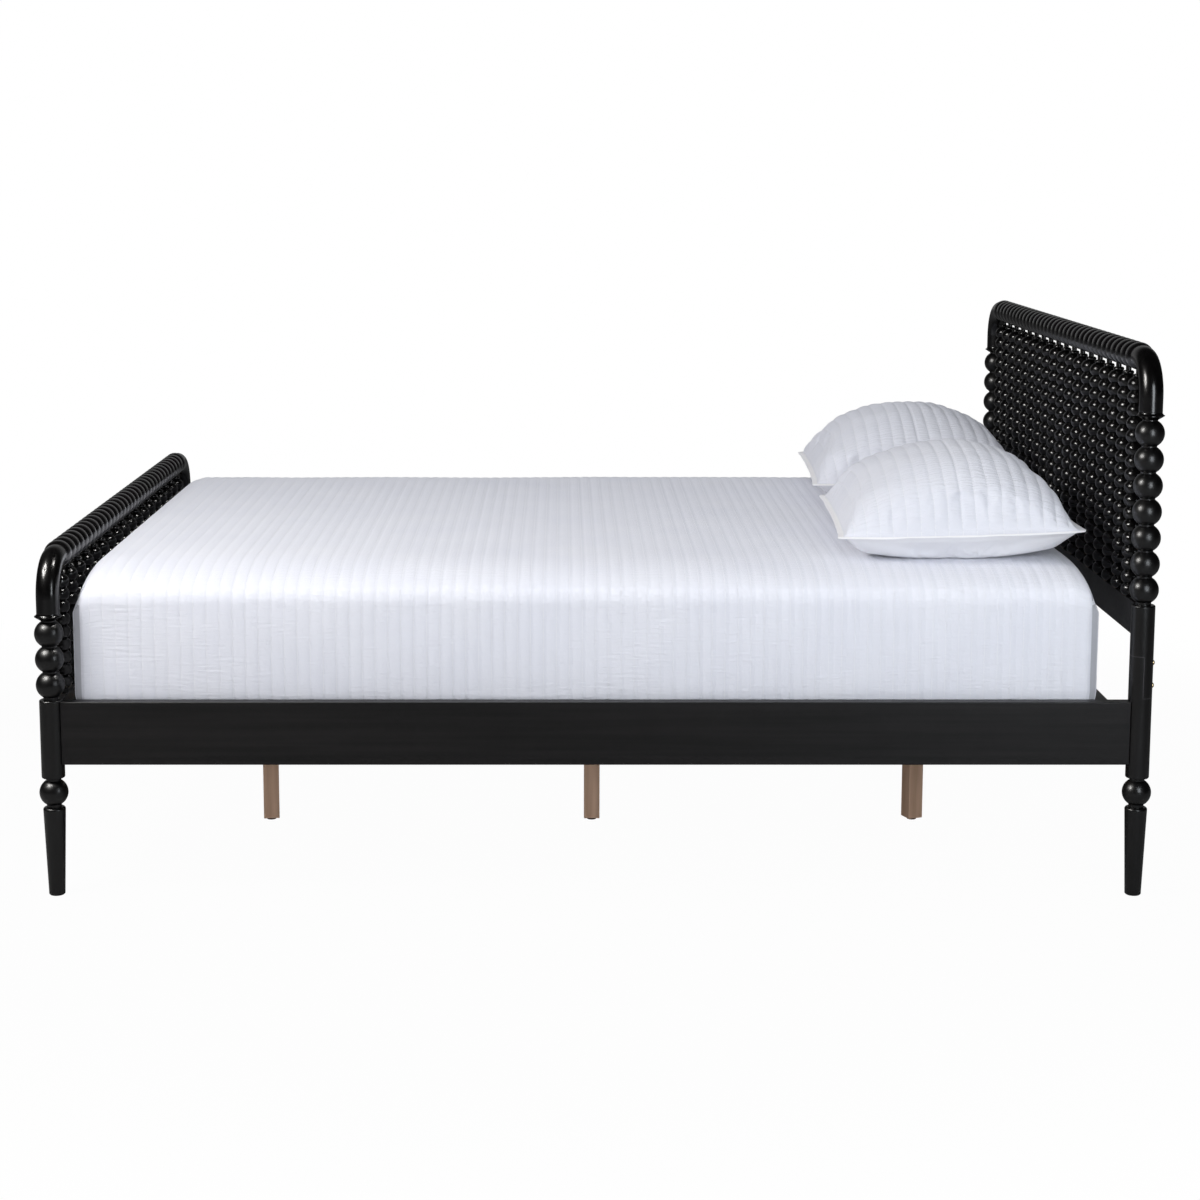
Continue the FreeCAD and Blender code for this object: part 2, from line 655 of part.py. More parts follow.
def centre_beam(side):
    reach = CROSS_INNER_X - HANGER_STEEL - BEAM_END_GAP
    half = BEAM_WIDTH / 2
    y = side * BEAM_OFFSET
    beam = box(-reach, reach, y - half, y + half, BEAM_BOTTOM, SLAT_BOTTOM)
    deep = BEAM_BOTTOM + HANGER_BOLT_IN_BEAM + BORE_END_GAP
    bores = []
    for x, y, turn in support_places(side):
        bores.append(rod(HANGER_BOLT_D + 2 * FIT, Vector(x, y, BEAM_BOTTOM), Vector(x, y, deep)))
    return beam.cut(bores)


def support_leg(x, y, turn):
    half = SUPPORT_SIZE / 2
    leg = box(-half, half, -half, half, GLIDE_HEIGHT, BEAM_BOTTOM)
    upright = [edge for edge in leg.Edges if abs(edge.tangentAt(edge.FirstParameter).z) > DIAGONAL]
    leg = leg.makeFillet(SUPPORT_EASE, upright)
    depth = HANGER_BOLT_IN_LEG + BORE_END_GAP
    leg = leg.cut(rod(HANGER_BOLT_D + 2 * FIT, Vector(0, 0, BEAM_BOTTOM - depth), Vector(0, 0, BEAM_BOTTOM)))
    return moved(leg, x, y, 0, turn)


def all_supports():
    return [place for side in SIDES.values() for place in support_places(side)]


def upright_rods(diameter, low, high):
    """One rod on the axis of every support leg."""
    rods = [rod(diameter, Vector(x, y, low), Vector(x, y, high)) for x, y, turn in all_supports()]
    return Part.makeCompound(rods)


def leg_hanger_bolts():
    return upright_rods(HANGER_BOLT_D, BEAM_BOTTOM - HANGER_BOLT_IN_LEG, BEAM_BOTTOM + HANGER_BOLT_IN_BEAM)


def leg_glides():
    return upright_rods(GLIDE_D, 0.0, GLIDE_HEIGHT)


def hanger_screw_offsets():
    wall = BEAM_WIDTH / 2 + HANGER_SIDE_GAP + HANGER_STEEL
    return [-wall - HANGER_FLANGE / 2, wall + HANGER_FLANGE / 2]


def hanger_screw_height():
    return (BEAM_BOTTOM + SLAT_BOTTOM) / 2


def beam_hanger():
    """A pressed steel cradle against a board at x = 0, opening towards -X, for a beam along the X axis."""
    inner = BEAM_WIDTH / 2 + HANGER_SIDE_GAP
    wall = inner + HANGER_STEEL
    wide = wall + HANGER_FLANGE
    floor = BEAM_BOTTOM - HANGER_STEEL
    back = box(-HANGER_STEEL, 0, -wide, wide, floor, SLAT_BOTTOM)
    cradle = box(-HANGER_DEPTH, -HANGER_STEEL, -wall, wall, floor, SLAT_BOTTOM)
    space = box(-HANGER_DEPTH, -HANGER_STEEL, -inner, inner, BEAM_BOTTOM, SLAT_BOTTOM)
    hanger = back.fuse(cradle.cut(space)).removeSplitter()
    height = hanger_screw_height()
    holes = []
    for y in hanger_screw_offsets():
        holes.append(rod(SCREW_D + 2 * FIT, Vector(-HANGER_STEEL, y, height), Vector(0, y, height)))
    return hanger.cut(holes)


def hanger_places():
    return [(end * CROSS_INNER_X, side * BEAM_OFFSET, 0.0 if end > 0 else HALF_TURN)
            for end in (-1, 1) for side in SIDES.values()]


def hanger_screws():
    piece = screw(SCREW_HEAD_HEIGHT + HANGER_STEEL + SCREW_BITE)
    piece.rotate(Vector(0, 0, 0), Vector(0, 1, 0), -QUARTER_TURN)
    head = -HANGER_STEEL - SCREW_HEAD_HEIGHT
    pair = [moved(piece, head, y, hanger_screw_height()) for y in hanger_screw_offsets()]
    return Part.makeCompound([moved(one, x, y, 0, turn) for x, y, turn in hanger_places() for one in pair])


def hanger_screw_holes(end):
    holes = []
    for side in SIDES.values():
        for offset in hanger_screw_offsets():
            face = Vector(end * CROSS_INNER_X, side * BEAM_OFFSET + offset, hanger_screw_height())
            holes.append(rod(SCREW_D + 2 * FIT, face, face.add(Vector(end * SCREW_BITE, 0, 0))))
    return holes


def bed_section(x, inset, growth, bottom):
    """Outline across the mattress at x: flat base, bulged sides, rounded upper edges and a crowned top."""
    half = MATTRESS_WIDTH / 2 + growth - inset
    top = MATTRESS_TOP + growth - inset
    edge_r = MATTRESS_EDGE_R
    shoulder = top - MATTRESS_CROWN - edge_r
    waist = (bottom + shoulder) / 2
    corner_y = half - edge_r * (1 - DIAGONAL)
    corner_z = shoulder + edge_r * DIAGONAL
    flat = half - edge_r
    right = [Vector(x, half, bottom), Vector(x, half + MATTRESS_BULGE, waist), Vector(x, half, shoulder),
             Vector(x, corner_y, corner_z), Vector(x, flat, top - MATTRESS_CROWN)]
    left = [Vector(x, -p.y, p.z) for p in right]
    edges = [Part.makeLine(left[0], right[0]),
             Part.Arc(right[0], right[1], right[2]).toShape(),
             Part.Arc(right[2], right[3], right[4]).toShape(),
             Part.Arc(right[4], Vector(x, 0, top), left[4]).toShape(),
             Part.Arc(left[4], left[3], left[2]).toShape(),
             Part.Arc(left[2], left[1], left[0]).toShape()]
    return Part.Wire(edges)


def end_inset(from_end):
    """How far the outline draws in where the mattress rounds over at its head and foot."""
    if from_end >= MATTRESS_EDGE_R:
        return 0.0
    return MATTRESS_EDGE_R - math.sqrt(MATTRESS_EDGE_R ** 2 - (MATTRESS_EDGE_R - from_end) ** 2)


def bed_loft(length, growth, bottom, alongs, depth):
    """Loft through outlines at the given distances from the foot end, drawn in at each channel's seam."""
    wires = []
    for i, along in enumerate(alongs):
        seam = depth if i % CHANNEL_STATION_COUNT == 0 else 0.0
        inset = end_inset(min(along, length - along)) + seam
        wires.append(bed_section(MATTRESS_X - length / 2 + along, inset, growth, bottom))
    return Part.makeLoft(wires, True, True)


def mattress(growth):
    """The mattress, or the hollow that holds it where growth is a clearance."""
    length = MATTRESS_LENGTH + 2 * growth
    first = [MATTRESS_EDGE_R * i / END_STATION_COUNT for i in range(END_STATION_COUNT + 1)]
    alongs = first + [length - along for along in reversed(first)]
    return bed_loft(length, growth, MATTRESS_BASE, alongs, 0.0)


def coverlet():
    """A quilted cover, open below, whose channels run across the bed and down both sides."""
    stations = CHANNEL_COUNT * CHANNEL_STATION_COUNT
    length = MATTRESS_LENGTH + 2 * COVERLET_GROWTH
    alongs = [length * i / stations for i in range(stations + 1)]
    outer = bed_loft(length, COVERLET_GROWTH, MATTRESS_BASE + COVERLET_HEM, alongs, CHANNEL_DEPTH)
    return outer.cut(mattress(SOFT_GAP))


def pillow_section(t):
    """Outline across a pillow at the share t of its half length.

    The crown is scalloped by the channels, the seam edges are flat and the belly is plain.
    """
    fullness = math.sqrt(max(0.0, 1 - t * t))
    half = PILLOW_WIDTH / 2 - PILLOW_WAIST * (1 - t * t)
    y = t * PILLOW_LENGTH / 2
    edge = PILLOW_EDGE / 2

    def crown(share):
        return edge + PILLOW_CROWN * fullness * (1 - abs(share) ** PILLOW_CROWN_SQUARE) ** PILLOW_CROWN_ROUND

    shares = [-1 + 2 * i / PILLOW_CHANNEL_COUNT for i in range(PILLOW_CHANNEL_COUNT + 1)]
    seams = [Vector(half * s, y, crown(s)) for s in shares]
    edges = []
    for a, b in zip(seams, seams[1:]):
        middle = a.add(b).multiply(0.5)
        normal = Vector(a.z - b.z, 0, b.x - a.x).normalize()
        swell = PILLOW_CHANNEL_SWELL * (edge / PILLOW_CROWN + fullness)
        edges.append(Part.Arc(a, middle.add(normal.multiply(swell)), b).toShape())
    right = Vector(half, y, -edge)
    left = Vector(-half, y, -edge)
    belly = Vector(0, y, -edge - PILLOW_BELLY * (edge / PILLOW_CROWN + fullness))
    edges.append(Part.makeLine(seams[-1], right))
    edges.append(Part.Arc(right, belly, left).toShape())
    edges.append(Part.makeLine(left, seams[0]))
    return Part.Wire(edges)


def crown_drop(y):
    """How far the coverlet's crowned top lies below its highest line at the distance y from the middle."""
    half = MATTRESS_WIDTH / 2 + COVERLET_GROWTH - MATTRESS_EDGE_R
    radius = (half ** 2 + MATTRESS_CROWN ** 2) / (2 * MATTRESS_CROWN)
    return radius - math.sqrt(radius ** 2 - y ** 2)


def pillow(from_head, y):
    """A pillow whose middle lies the given distance from the mattress's head end."""
    shape = Part.makeLoft([pillow_section(t) for t in PILLOW_STATIONS], True, True)
    shape.rotate(Vector(0, 0, 0), Vector(0, 1, 0), -PILLOW_TILT)
    rest = MATTRESS_TOP + COVERLET_GROWTH - crown_drop(y) + PILLOW_GAP
    x = MATTRESS_X + MATTRESS_LENGTH / 2 - from_head
    return moved(shape, x, y, rest - shape.optimalBoundingBox().ZMin, PILLOW_TURN)


def build():
    head_top = post_top(HEAD_BARREL_TOP, HEAD_BALLS)
    foot_top = post_top(FOOT_BARREL_TOP, FOOT_BALLS)
    head_axis = head_top + ELBOW_RISE
    foot_axis = foot_top + ELBOW_RISE
    parts = {}
    for name, side in SIDES.items():
        parts["head_post_" + name] = head_post(side)
        parts["head_leg_" + name] = head_leg(side)
        parts["head_elbow_" + name] = placed_elbow(HEAD_X, side, head_top)
        parts["foot_post_" + name] = foot_post(side)
        parts["foot_elbow_" + name] = placed_elbow(-HEAD_X, side, foot_top)
        parts["side_rail_" + name] = side_rail(side)
        parts["slat_ledge_" + name] = slat_ledge(side)
        parts["centre_beam_" + name] = centre_beam(side)
        parts["pillow_" + name] = pillow(*PILLOW_PLACES[name])
    parts["head_top_rail"] = top_rail(HEAD_X, head_axis)
    parts["foot_top_rail"] = top_rail(-HEAD_X, foot_axis)
    parts["head_bottom_rail"] = cross_rail(HEAD_X, HEAD_BOTTOM_RAIL_BASE, HEAD_BOTTOM_RAIL_HEIGHT, True)
    head_cross = cross_rail(HEAD_X, SIDE_RAIL_BOTTOM, HEAD_CROSS_HEIGHT, False)
    foot_cross = cross_rail(-HEAD_X, SIDE_RAIL_BOTTOM, FOOT_CROSS_HEIGHT, True)
    parts["head_cross_rail"] = head_cross.cut(hanger_screw_holes(1))
    parts["foot_cross_rail"] = foot_cross.cut(hanger_screw_holes(-1))
    parts["head_spindles"] = spindle_row(HEAD_X, HEAD_BOTTOM_RAIL_TOP, 0.0, HEAD_BEAD_COUNT, head_axis)
    parts["foot_spindles"] = spindle_row(-HEAD_X, FOOT_CROSS_TOP, FOOT_SPINDLE_BASE, FOOT_BEAD_COUNT,
                                         foot_axis)
    for i, (x, y, turn) in enumerate(all_supports()):
        parts["support_leg_%d" % (i + 1)] = support_leg(x, y, turn)
    for i, x in enumerate(slat_places()):
        parts["slat_%02d" % (i + 1)] = slat(x)
    parts["leg_hanger_bolts"] = leg_hanger_bolts()
    parts["leg_glides"] = leg_glides()
    hanger = beam_hanger()
    hangers = [moved(hanger, x, y, 0, turn) for x, y, turn in hanger_places()]
    parts["beam_hangers"] = Part.makeCompound(hangers)
    parts["hanger_screws"] = hanger_screws()
    parts["ledge_screws"] = ledge_screws()
    parts["slat_screws"] = slat_screws()
    parts["lap_bolts"] = lap_set(lap_bolt())
    parts["lap_inserts"] = lap_set(lap_insert())
    parts["rail_bolts"] = rail_bolts()
    parts["barrel_nuts"] = barrel_nuts()
    parts["rail_dowels"] = rail_dowels()
    parts["mattress"] = mattress(0.0)
    parts["coverlet"] = coverlet()
    return parts


os.makedirs("parts", exist_ok=True)
for node, shape in build().items():
    shape.exportStep("parts/" + node + ".step")
    print(node, len(shape.Solids), shape.isValid(), round(shape.Volume), shape.BoundBox)
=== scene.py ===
# %% [markdown]
# # A bobbin-turned platform bed
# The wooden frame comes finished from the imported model: every turned post, bead and board is already there.
# What is left for Blender is what makes it look real: paint, bare wood and metal on the frame,
# and the soft things on it, a mattress, a quilted cover and two quilted pillows.

# %% Load the frame
import math

import bpy
import numpy as np
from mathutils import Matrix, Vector, noise


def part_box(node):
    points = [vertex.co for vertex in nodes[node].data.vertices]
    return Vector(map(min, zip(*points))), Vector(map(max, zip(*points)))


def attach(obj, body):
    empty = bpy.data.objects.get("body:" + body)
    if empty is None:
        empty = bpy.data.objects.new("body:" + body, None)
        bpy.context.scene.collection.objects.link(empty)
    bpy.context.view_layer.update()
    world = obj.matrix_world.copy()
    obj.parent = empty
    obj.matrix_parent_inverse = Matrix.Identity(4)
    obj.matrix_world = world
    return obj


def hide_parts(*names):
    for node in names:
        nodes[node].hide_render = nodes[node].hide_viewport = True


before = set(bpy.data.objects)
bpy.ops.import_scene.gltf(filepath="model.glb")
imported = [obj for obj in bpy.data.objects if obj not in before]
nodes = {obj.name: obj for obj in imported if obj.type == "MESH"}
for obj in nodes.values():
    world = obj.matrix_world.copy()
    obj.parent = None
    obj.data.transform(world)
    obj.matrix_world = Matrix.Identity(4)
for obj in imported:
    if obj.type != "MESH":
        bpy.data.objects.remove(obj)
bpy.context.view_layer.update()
scene = bpy.context.scene

# %% [markdown]
# ## Camera
# The photograph was taken from the long side with a long lens, a little above the mattress and tipped down.
# A small lens shift puts the bed where it stands in the picture without tilting its upright posts.

# %% Camera
SENSOR = 36.0
FOCAL_SHARE = 2258.0 / 1200.0
CAMERA_PLACE = (-0.064, -5.076, 1.425)
CAMERA_PITCH = 8.33
CAMERA_SHIFT = (0.0312, -0.0877)

camera_data = bpy.data.cameras.new("camera")
camera_data.sensor_width = SENSOR
camera_data.lens = SENSOR * FOCAL_SHARE
camera_data.shift_x, camera_data.shift_y = CAMERA_SHIFT
camera = bpy.data.objects.new("camera", camera_data)
camera.location = CAMERA_PLACE
camera.rotation_euler = (math.radians(90.0 - CAMERA_PITCH), 0.0, 0.0)
scene.collection.objects.link(camera)
scene.camera = camera
scene.view_settings.view_transform = "Standard"
print("lens:", round(camera_data.lens, 2), "mm")

# %% [markdown]
# ## Light
# The highlights on the turned balls tell where the studio's lamps stood. Reflecting the camera's line of
# sight at each highlight, once at the head and once at the foot, gives two lines that cross at the lamp.
# One softbox hangs high at the foot end, and a narrow upright one stands in front of the head end.
# Three panels that reflections don't see fill the shadows: one in front, one overhead, and a low one at the
# near foot corner. A small lamp that only reflections see sets the bright dots on the foot board's beads.


# %% Lamps
def softbox(name, place, target, size, power, tint, glossy=True, diffuse=True):
    """An area lamp that faces its target. Its size is width and height in metres.

    A lamp may be seen by reflections alone, to set a highlight, or left out of them, to fill shadows.
    """
    data = bpy.data.lights.new(name, "AREA")
    data.shape = "RECTANGLE"
    data.size, data.size_y = size
    data.energy = power
    data.color = tint
    lamp = bpy.data.objects.new(name, data)
    lamp.location = place
    lamp.rotation_euler = (Vector(target) - Vector(place)).to_track_quat("-Z", "Y").to_euler()
    lamp.visible_camera = False
    lamp.visible_glossy = glossy
    lamp.visible_diffuse = diffuse
    scene.collection.objects.link(lamp)
    return lamp


FOOT_LAMP = (-2.06, -1.48, 2.40)
FOOT_LAMP_TARGET = (0.2, -0.6, 0.6)
WARM = (1.0, 0.98, 0.95)
BEAD_SPREAD = 60.0
softbox("foot_softbox", FOOT_LAMP, FOOT_LAMP_TARGET, (0.55, 0.70), 46.0, WARM, glossy=False)
softbox("foot_highlight", FOOT_LAMP, FOOT_LAMP_TARGET, (0.85, 0.95), 150.0, WARM, diffuse=False)
softbox("head_softbox", (1.32, -2.50, 1.15), (0.6, -0.4, 0.7), (0.55, 1.20), 19.0, (0.90, 0.95, 1.0))
softbox("front_panel", (0.0, -2.6, 3.4), (0.0, -0.2, 0.5), (3.4, 1.6), 16.5, (0.98, 0.98, 1.0), glossy=False)
softbox("overhead_panel", (0.0, 0.5, 3.3), (0.0, 0.5, 0.0), (2.6, 2.0), 15.0, (0.86, 0.90, 1.0), glossy=False)
softbox("low_panel", (-1.7, -4.2, 0.9), (-0.8, -0.8, 0.5), (2.4, 1.2), 32.0, (0.96, 0.97, 1.0), glossy=False)
bead_lamp = softbox("bead_highlight", (0.52, -0.55, 3.0), (-1.06, -0.1, 0.6), (0.35, 0.35), 4.5, WARM,
                    diffuse=False)
bead_lamp.data.spread = math.radians(BEAD_SPREAD)

# %% [markdown]
# ## Surroundings
# The picture's background is plain white. A floor that only the lamps lit would come out grey, and more light
# would bleach the bed, so camera rays see a white world while the bed is lit by a dimmer one.
# The floor takes most of its white the same way and keeps part of the bed's soft shadow.


# %% Node helpers
def plug(tree, value, socket):
    """Link a socket, or set a plain value."""
    if isinstance(value, bpy.types.NodeSocket):
        tree.links.new(value, socket)
    else:
        socket.default_value = value


def math_node(tree, operation, first, second=0.0):
    node = tree.nodes.new("ShaderNodeMath")
    node.operation = operation
    plug(tree, first, node.inputs[0])
    plug(tree, second, node.inputs[1])
    return node.outputs[0]


def axes_of(tree, vector):
    """The outputs X, Y and Z of a vector."""
    node = tree.nodes.new("ShaderNodeSeparateXYZ")
    tree.links.new(vector, node.inputs[0])
    return node.outputs


def map_range(tree, value, start, end, low, high, kind="LINEAR"):
    """Map values from start to end onto the range from low to high."""
    node = tree.nodes.new("ShaderNodeMapRange")
    node.interpolation_type = kind
    tree.links.new(value, node.inputs["Value"])
    for label, number in (("From Min", start), ("From Max", end), ("To Min", low), ("To Max", high)):
        node.inputs[label].default_value = number
    return node.outputs["Result"]


def mixed_color(tree, mask, color, marked):
    """A colour socket, with a plain colour in its place where the mask is 1."""
    node = tree.nodes.new("ShaderNodeMix")
    node.data_type = "RGBA"
    tree.links.new(mask, node.inputs["Factor"])
    tree.links.new(color, node.inputs["A"])
    node.inputs["B"].default_value = (*marked, 1.0)
    return node.outputs["Result"]


# %% World
WORLD_LEVEL = 0.25
STUDIO_GLOSS = 0.02
BACKDROP_GLOSS = 0.30
BACKDROP_FROM = 0.74
BACKDROP_TO = 0.97


def backdrop_gloss(tree):
    """What reflections see: a pale backdrop behind the bed, and a dark studio in front of it."""
    where = tree.nodes.new("ShaderNodeTexCoord")
    behind = axes_of(tree, where.outputs["Generated"])["Y"]
    return map_range(tree, behind, BACKDROP_FROM, BACKDROP_TO, STUDIO_GLOSS, BACKDROP_GLOSS, "SMOOTHSTEP")


def white_for(tree, glossy_level):
    """1 for rays from the camera or through glass, a dimmer white for reflections, and 0 for the rest."""
    rays = tree.nodes.new("ShaderNodeLightPath")
    dimmed = math_node(tree, "MULTIPLY", rays.outputs["Is Glossy Ray"], glossy_level)
    through = math_node(tree, "MAXIMUM", rays.outputs["Is Transmission Ray"], dimmed)
    return math_node(tree, "MAXIMUM", rays.outputs["Is Camera Ray"], through), rays


world = bpy.data.worlds.new("studio")
scene.world = world
world.use_nodes = True
tree = world.node_tree
background = tree.nodes["Background"]
background.inputs["Color"].default_value = (1.0, 1.0, 1.0, 1.0)
level, rays = white_for(tree, backdrop_gloss(tree))
fill = math_node(tree, "MULTIPLY", rays.outputs["Is Diffuse Ray"], WORLD_LEVEL)
tree.links.new(math_node(tree, "MAXIMUM", level, fill), background.inputs["Strength"])
print("world level:", WORLD_LEVEL)

# %% Floor
FLOOR_HALF = 40.0
SHADOW_SHARE = 0.025
SHADOW_START = 1.6
SHADOW_END = 2.6
PAPER_GREY = 0.36

floor_mesh = bpy.data.meshes.new("studio_floor")
floor_corners = [(-FLOOR_HALF, -FLOOR_HALF, 0), (FLOOR_HALF, -FLOOR_HALF, 0),
                 (FLOOR_HALF, FLOOR_HALF, 0), (-FLOOR_HALF, FLOOR_HALF, 0)]
floor_mesh.from_pydata(floor_corners, [], [(0, 1, 2, 3)])
floor = bpy.data.objects.new("studio_floor", floor_mesh)
scene.collection.objects.link(floor)
paper = bpy.data.materials.new("studio_paper")
paper.use_nodes = True
tree = paper.node_tree
sheet_shader = tree.nodes["Principled BSDF"]
sheet_shader.inputs["Base Color"].default_value = (PAPER_GREY, PAPER_GREY, PAPER_GREY, 1.0)
sheet_shader.inputs["Roughness"].default_value = 0.9
sheet_shader.inputs["Specular IOR Level"].default_value = 0.1
glow = tree.nodes.new("ShaderNodeEmission")
where = tree.nodes.new("ShaderNodeTexCoord")
away = tree.nodes.new("ShaderNodeVectorMath")
away.operation = "LENGTH"
tree.links.new(where.outputs["Object"], away.inputs[0])
clear = map_range(tree, away.outputs["Value"], SHADOW_START, SHADOW_END, 1.0 - SHADOW_SHARE, 1.0,
                  "SMOOTHSTEP")
level, _ = white_for(tree, 0.0)
mix = tree.nodes.new("ShaderNodeMixShader")
tree.links.new(math_node(tree, "MULTIPLY", level, clear), mix.inputs["Fac"])
tree.links.new(sheet_shader.outputs[0], mix.inputs[1])
tree.links.new(glow.outputs[0], mix.inputs[2])
tree.links.new(mix.outputs[0], tree.nodes["Material Output"].inputs["Surface"])
floor_mesh.materials.append(paper)
print("floor half width:", FLOOR_HALF, "m")

# %% [markdown]
# ## Shared surface effects
# Several finishes share the same small effects: cloudy unevenness, wood grain, woven threads, creased cloth,
# quilting stitches and the lines of a joint. Each is a node group with its own named inputs, so one effect
# is made once and tuned in every material that uses it. The groups give only masks and heights: the shaders
# stay in the materials.


# %% Group helpers
def shader_group(name, inputs, outputs):
    group = bpy.data.node_groups.new(name, "ShaderNodeTree")
    for label, kind, value in inputs:
        socket = group.interface.new_socket(label, in_out="INPUT", socket_type=kind)
        socket.default_value = value
    for label in outputs:
        group.interface.new_socket(label, in_out="OUTPUT", socket_type="NodeSocketFloat")
    return group, group.nodes.new("NodeGroupInput"), group.nodes.new("NodeGroupOutput")


def scaled_place(tree, source, factor):
    """Object or UV coordinates, multiplied by a vector or a socket."""
    where = tree.nodes.new("ShaderNodeTexCoord")
    scale = tree.nodes.new("ShaderNodeVectorMath")
    scale.operation = "MULTIPLY"
    tree.links.new(where.outputs[source], scale.inputs[0])
    plug(tree, factor, scale.inputs[1])
    return scale.outputs[0]


def cloth_place(tree):
    """The flat cloth's own coordinates, in metres."""
    node = tree.nodes.new("ShaderNodeUVMap")
    node.uv_map = "cloth"
    return node.outputs["UV"]


def noise_node(tree, vector, scale, detail):
    node = tree.nodes.new("ShaderNodeTexNoise")
    tree.links.new(vector, node.inputs["Vector"])
    plug(tree, scale, node.inputs["Scale"])
    node.inputs["Detail"].default_value = detail
    return node.outputs["Fac"]


# %% Cloudy unevenness, for paint, metal and plastic
FLOAT = "NodeSocketFloat"
VECTOR = "NodeSocketVector"
EVEN = (1.0, 1.0, 1.0)
BROAD_SHARE = 0.65

mottle, given, out = shader_group("mottle", [("Scale", FLOAT, 20.0)], ["Mask"])
place = scaled_place(mottle, "Object", EVEN)
broad = noise_node(mottle, place, given.outputs["Scale"], 3.0)
fine = noise_node(mottle, place, math_node(mottle, "MULTIPLY", given.outputs["Scale"], 9.0), 2.0)
broad = math_node(mottle, "MULTIPLY", broad, BROAD_SHARE)
fine = math_node(mottle, "MULTIPLY", fine, 1.0 - BROAD_SHARE)
mottle.links.new(math_node(mottle, "ADD", broad, fine), out.inputs["Mask"])

# %% Wood grain, drawn out along the vector that each board is given
grain, given, out = shader_group("grain", [("Stretch", VECTOR, EVEN), ("Scale", FLOAT, 60.0)],
                                 ["Figure", "Pores"])
place = scaled_place(grain, "Object", given.outputs["Stretch"])
figure = noise_node(grain, place, given.outputs["Scale"], 4.0)
pores = noise_node(grain, place, math_node(grain, "MULTIPLY", given.outputs["Scale"], 7.0), 2.0)
grain.links.new(figure, out.inputs["Figure"])
grain.links.new(pores, out.inputs["Pores"])

# %% Woven threads, from the flat cloth's own coordinates in metres
weave, given, out = shader_group("weave", [("Thread", FLOAT, 0.0006)], ["Height"])
axes = axes_of(weave, cloth_place(weave))
turns = math_node(weave, "DIVIDE", math.pi, given.outputs["Thread"])
warp = math_node(weave, "SINE", math_node(weave, "MULTIPLY", axes["X"], turns))
weft = math_node(weave, "SINE", math_node(weave, "MULTIPLY", axes["Y"], turns))
over = math_node(weave, "ABSOLUTE", warp)
under = math_node(weave, "ABSOLUTE", weft)
weave.links.new(math_node(weave, "MAXIMUM", over, under), out.inputs["Height"])

# %% Creased cloth: short creases across the channels, stronger in some patches
crease, given, out = shader_group("crease", [("Along", VECTOR, (22.0, 150.0, 1.0))], ["Height", "Mask"])
flat = cloth_place(crease)
drawn = crease.nodes.new("ShaderNodeVectorMath")
drawn.operation = "MULTIPLY"
crease.links.new(flat, drawn.inputs[0])
crease.links.new(given.outputs["Along"], drawn.inputs[1])
lines = noise_node(crease, drawn.outputs[0], 1.0, 3.0)
patches = noise_node(crease, flat, 5.0, 2.0)
crease.links.new(math_node(crease, "MULTIPLY", lines, patches), out.inputs["Height"])
crease.links.new(patches, out.inputs["Mask"])

# %% Quilting stitches: a dashed line on every channel's seam
STITCH_SHARE = 0.68

stitches, given, out = shader_group("stitches", [("Pitch", FLOAT, 0.026), ("Width", FLOAT, 0.0020),
                                                 ("Length", FLOAT, 0.0034)], ["Mask", "Seam"])
axes = axes_of(stitches, cloth_place(stitches))
half_pitch = math_node(stitches, "DIVIDE", given.outputs["Pitch"], 2.0)
half_width = math_node(stitches, "DIVIDE", given.outputs["Width"], 2.0)
near = math_node(stitches, "PINGPONG", axes["X"], half_pitch)
seam = math_node(stitches, "LESS_THAN", near, half_width)
beat = math_node(stitches, "FRACT", math_node(stitches, "DIVIDE", axes["Y"], given.outputs["Length"]))
dash = math_node(stitches, "LESS_THAN", beat, STITCH_SHARE)
stitches.links.new(math_node(stitches, "MULTIPLY", seam, dash), out.inputs["Mask"])
stitches.links.new(seam, out.inputs["Seam"])

# %% The half lap in each head post: two short level lines and an upright one between them
joint, given, out = shader_group("half_lap", [("Low", FLOAT, 0.4), ("High", FLOAT, 0.5),
                                              ("Plane", FLOAT, 1.0), ("Width", FLOAT, 0.0006)], ["Mask"])
axes = axes_of(joint, scaled_place(joint, "Object", EVEN))


def near_level(tree, value, level, width):
    gap = math_node(tree, "ABSOLUTE", math_node(tree, "SUBTRACT", value, level))
    return math_node(tree, "LESS_THAN", gap, width)


lap_low, lap_high, plane, width = [given.outputs[label] for label in ("Low", "High", "Plane", "Width")]
outer = math_node(joint, "LESS_THAN", axes["X"], plane)
inner = math_node(joint, "SUBTRACT", 1.0, outer)
upper_line = math_node(joint, "MULTIPLY", near_level(joint, axes["Z"], lap_high, width), outer)
lower_line = math_node(joint, "MULTIPLY", near_level(joint, axes["Z"], lap_low, width), inner)
between = math_node(joint, "MULTIPLY", math_node(joint, "GREATER_THAN", axes["Z"], lap_low),
                    math_node(joint, "LESS_THAN", axes["Z"], lap_high))
upright_line = math_node(joint, "MULTIPLY", near_level(joint, axes["X"], plane, width), between)
level_lines = math_node(joint, "MAXIMUM", upper_line, lower_line)
joint.links.new(math_node(joint, "MAXIMUM", upright_line, level_lines), out.inputs["Mask"])
print("groups:", [g.name for g in bpy.data.node_groups])

# %% [markdown]
# ## Finishes of the frame
# The frame is turned hardwood under satin black paint. Paint follows the wood a little: boards show faint
# long brush and grain lines, and turned pieces only a soft cloudiness in their gloss.
# Rubbed spots are a touch smoother, so the mottle drives roughness more than colour.
# The posts are softer in their gloss than the small beads, and the head posts show the line of their joint.


# %% Material helpers
MASK_LOW = 0.3
MASK_HIGH = 0.7


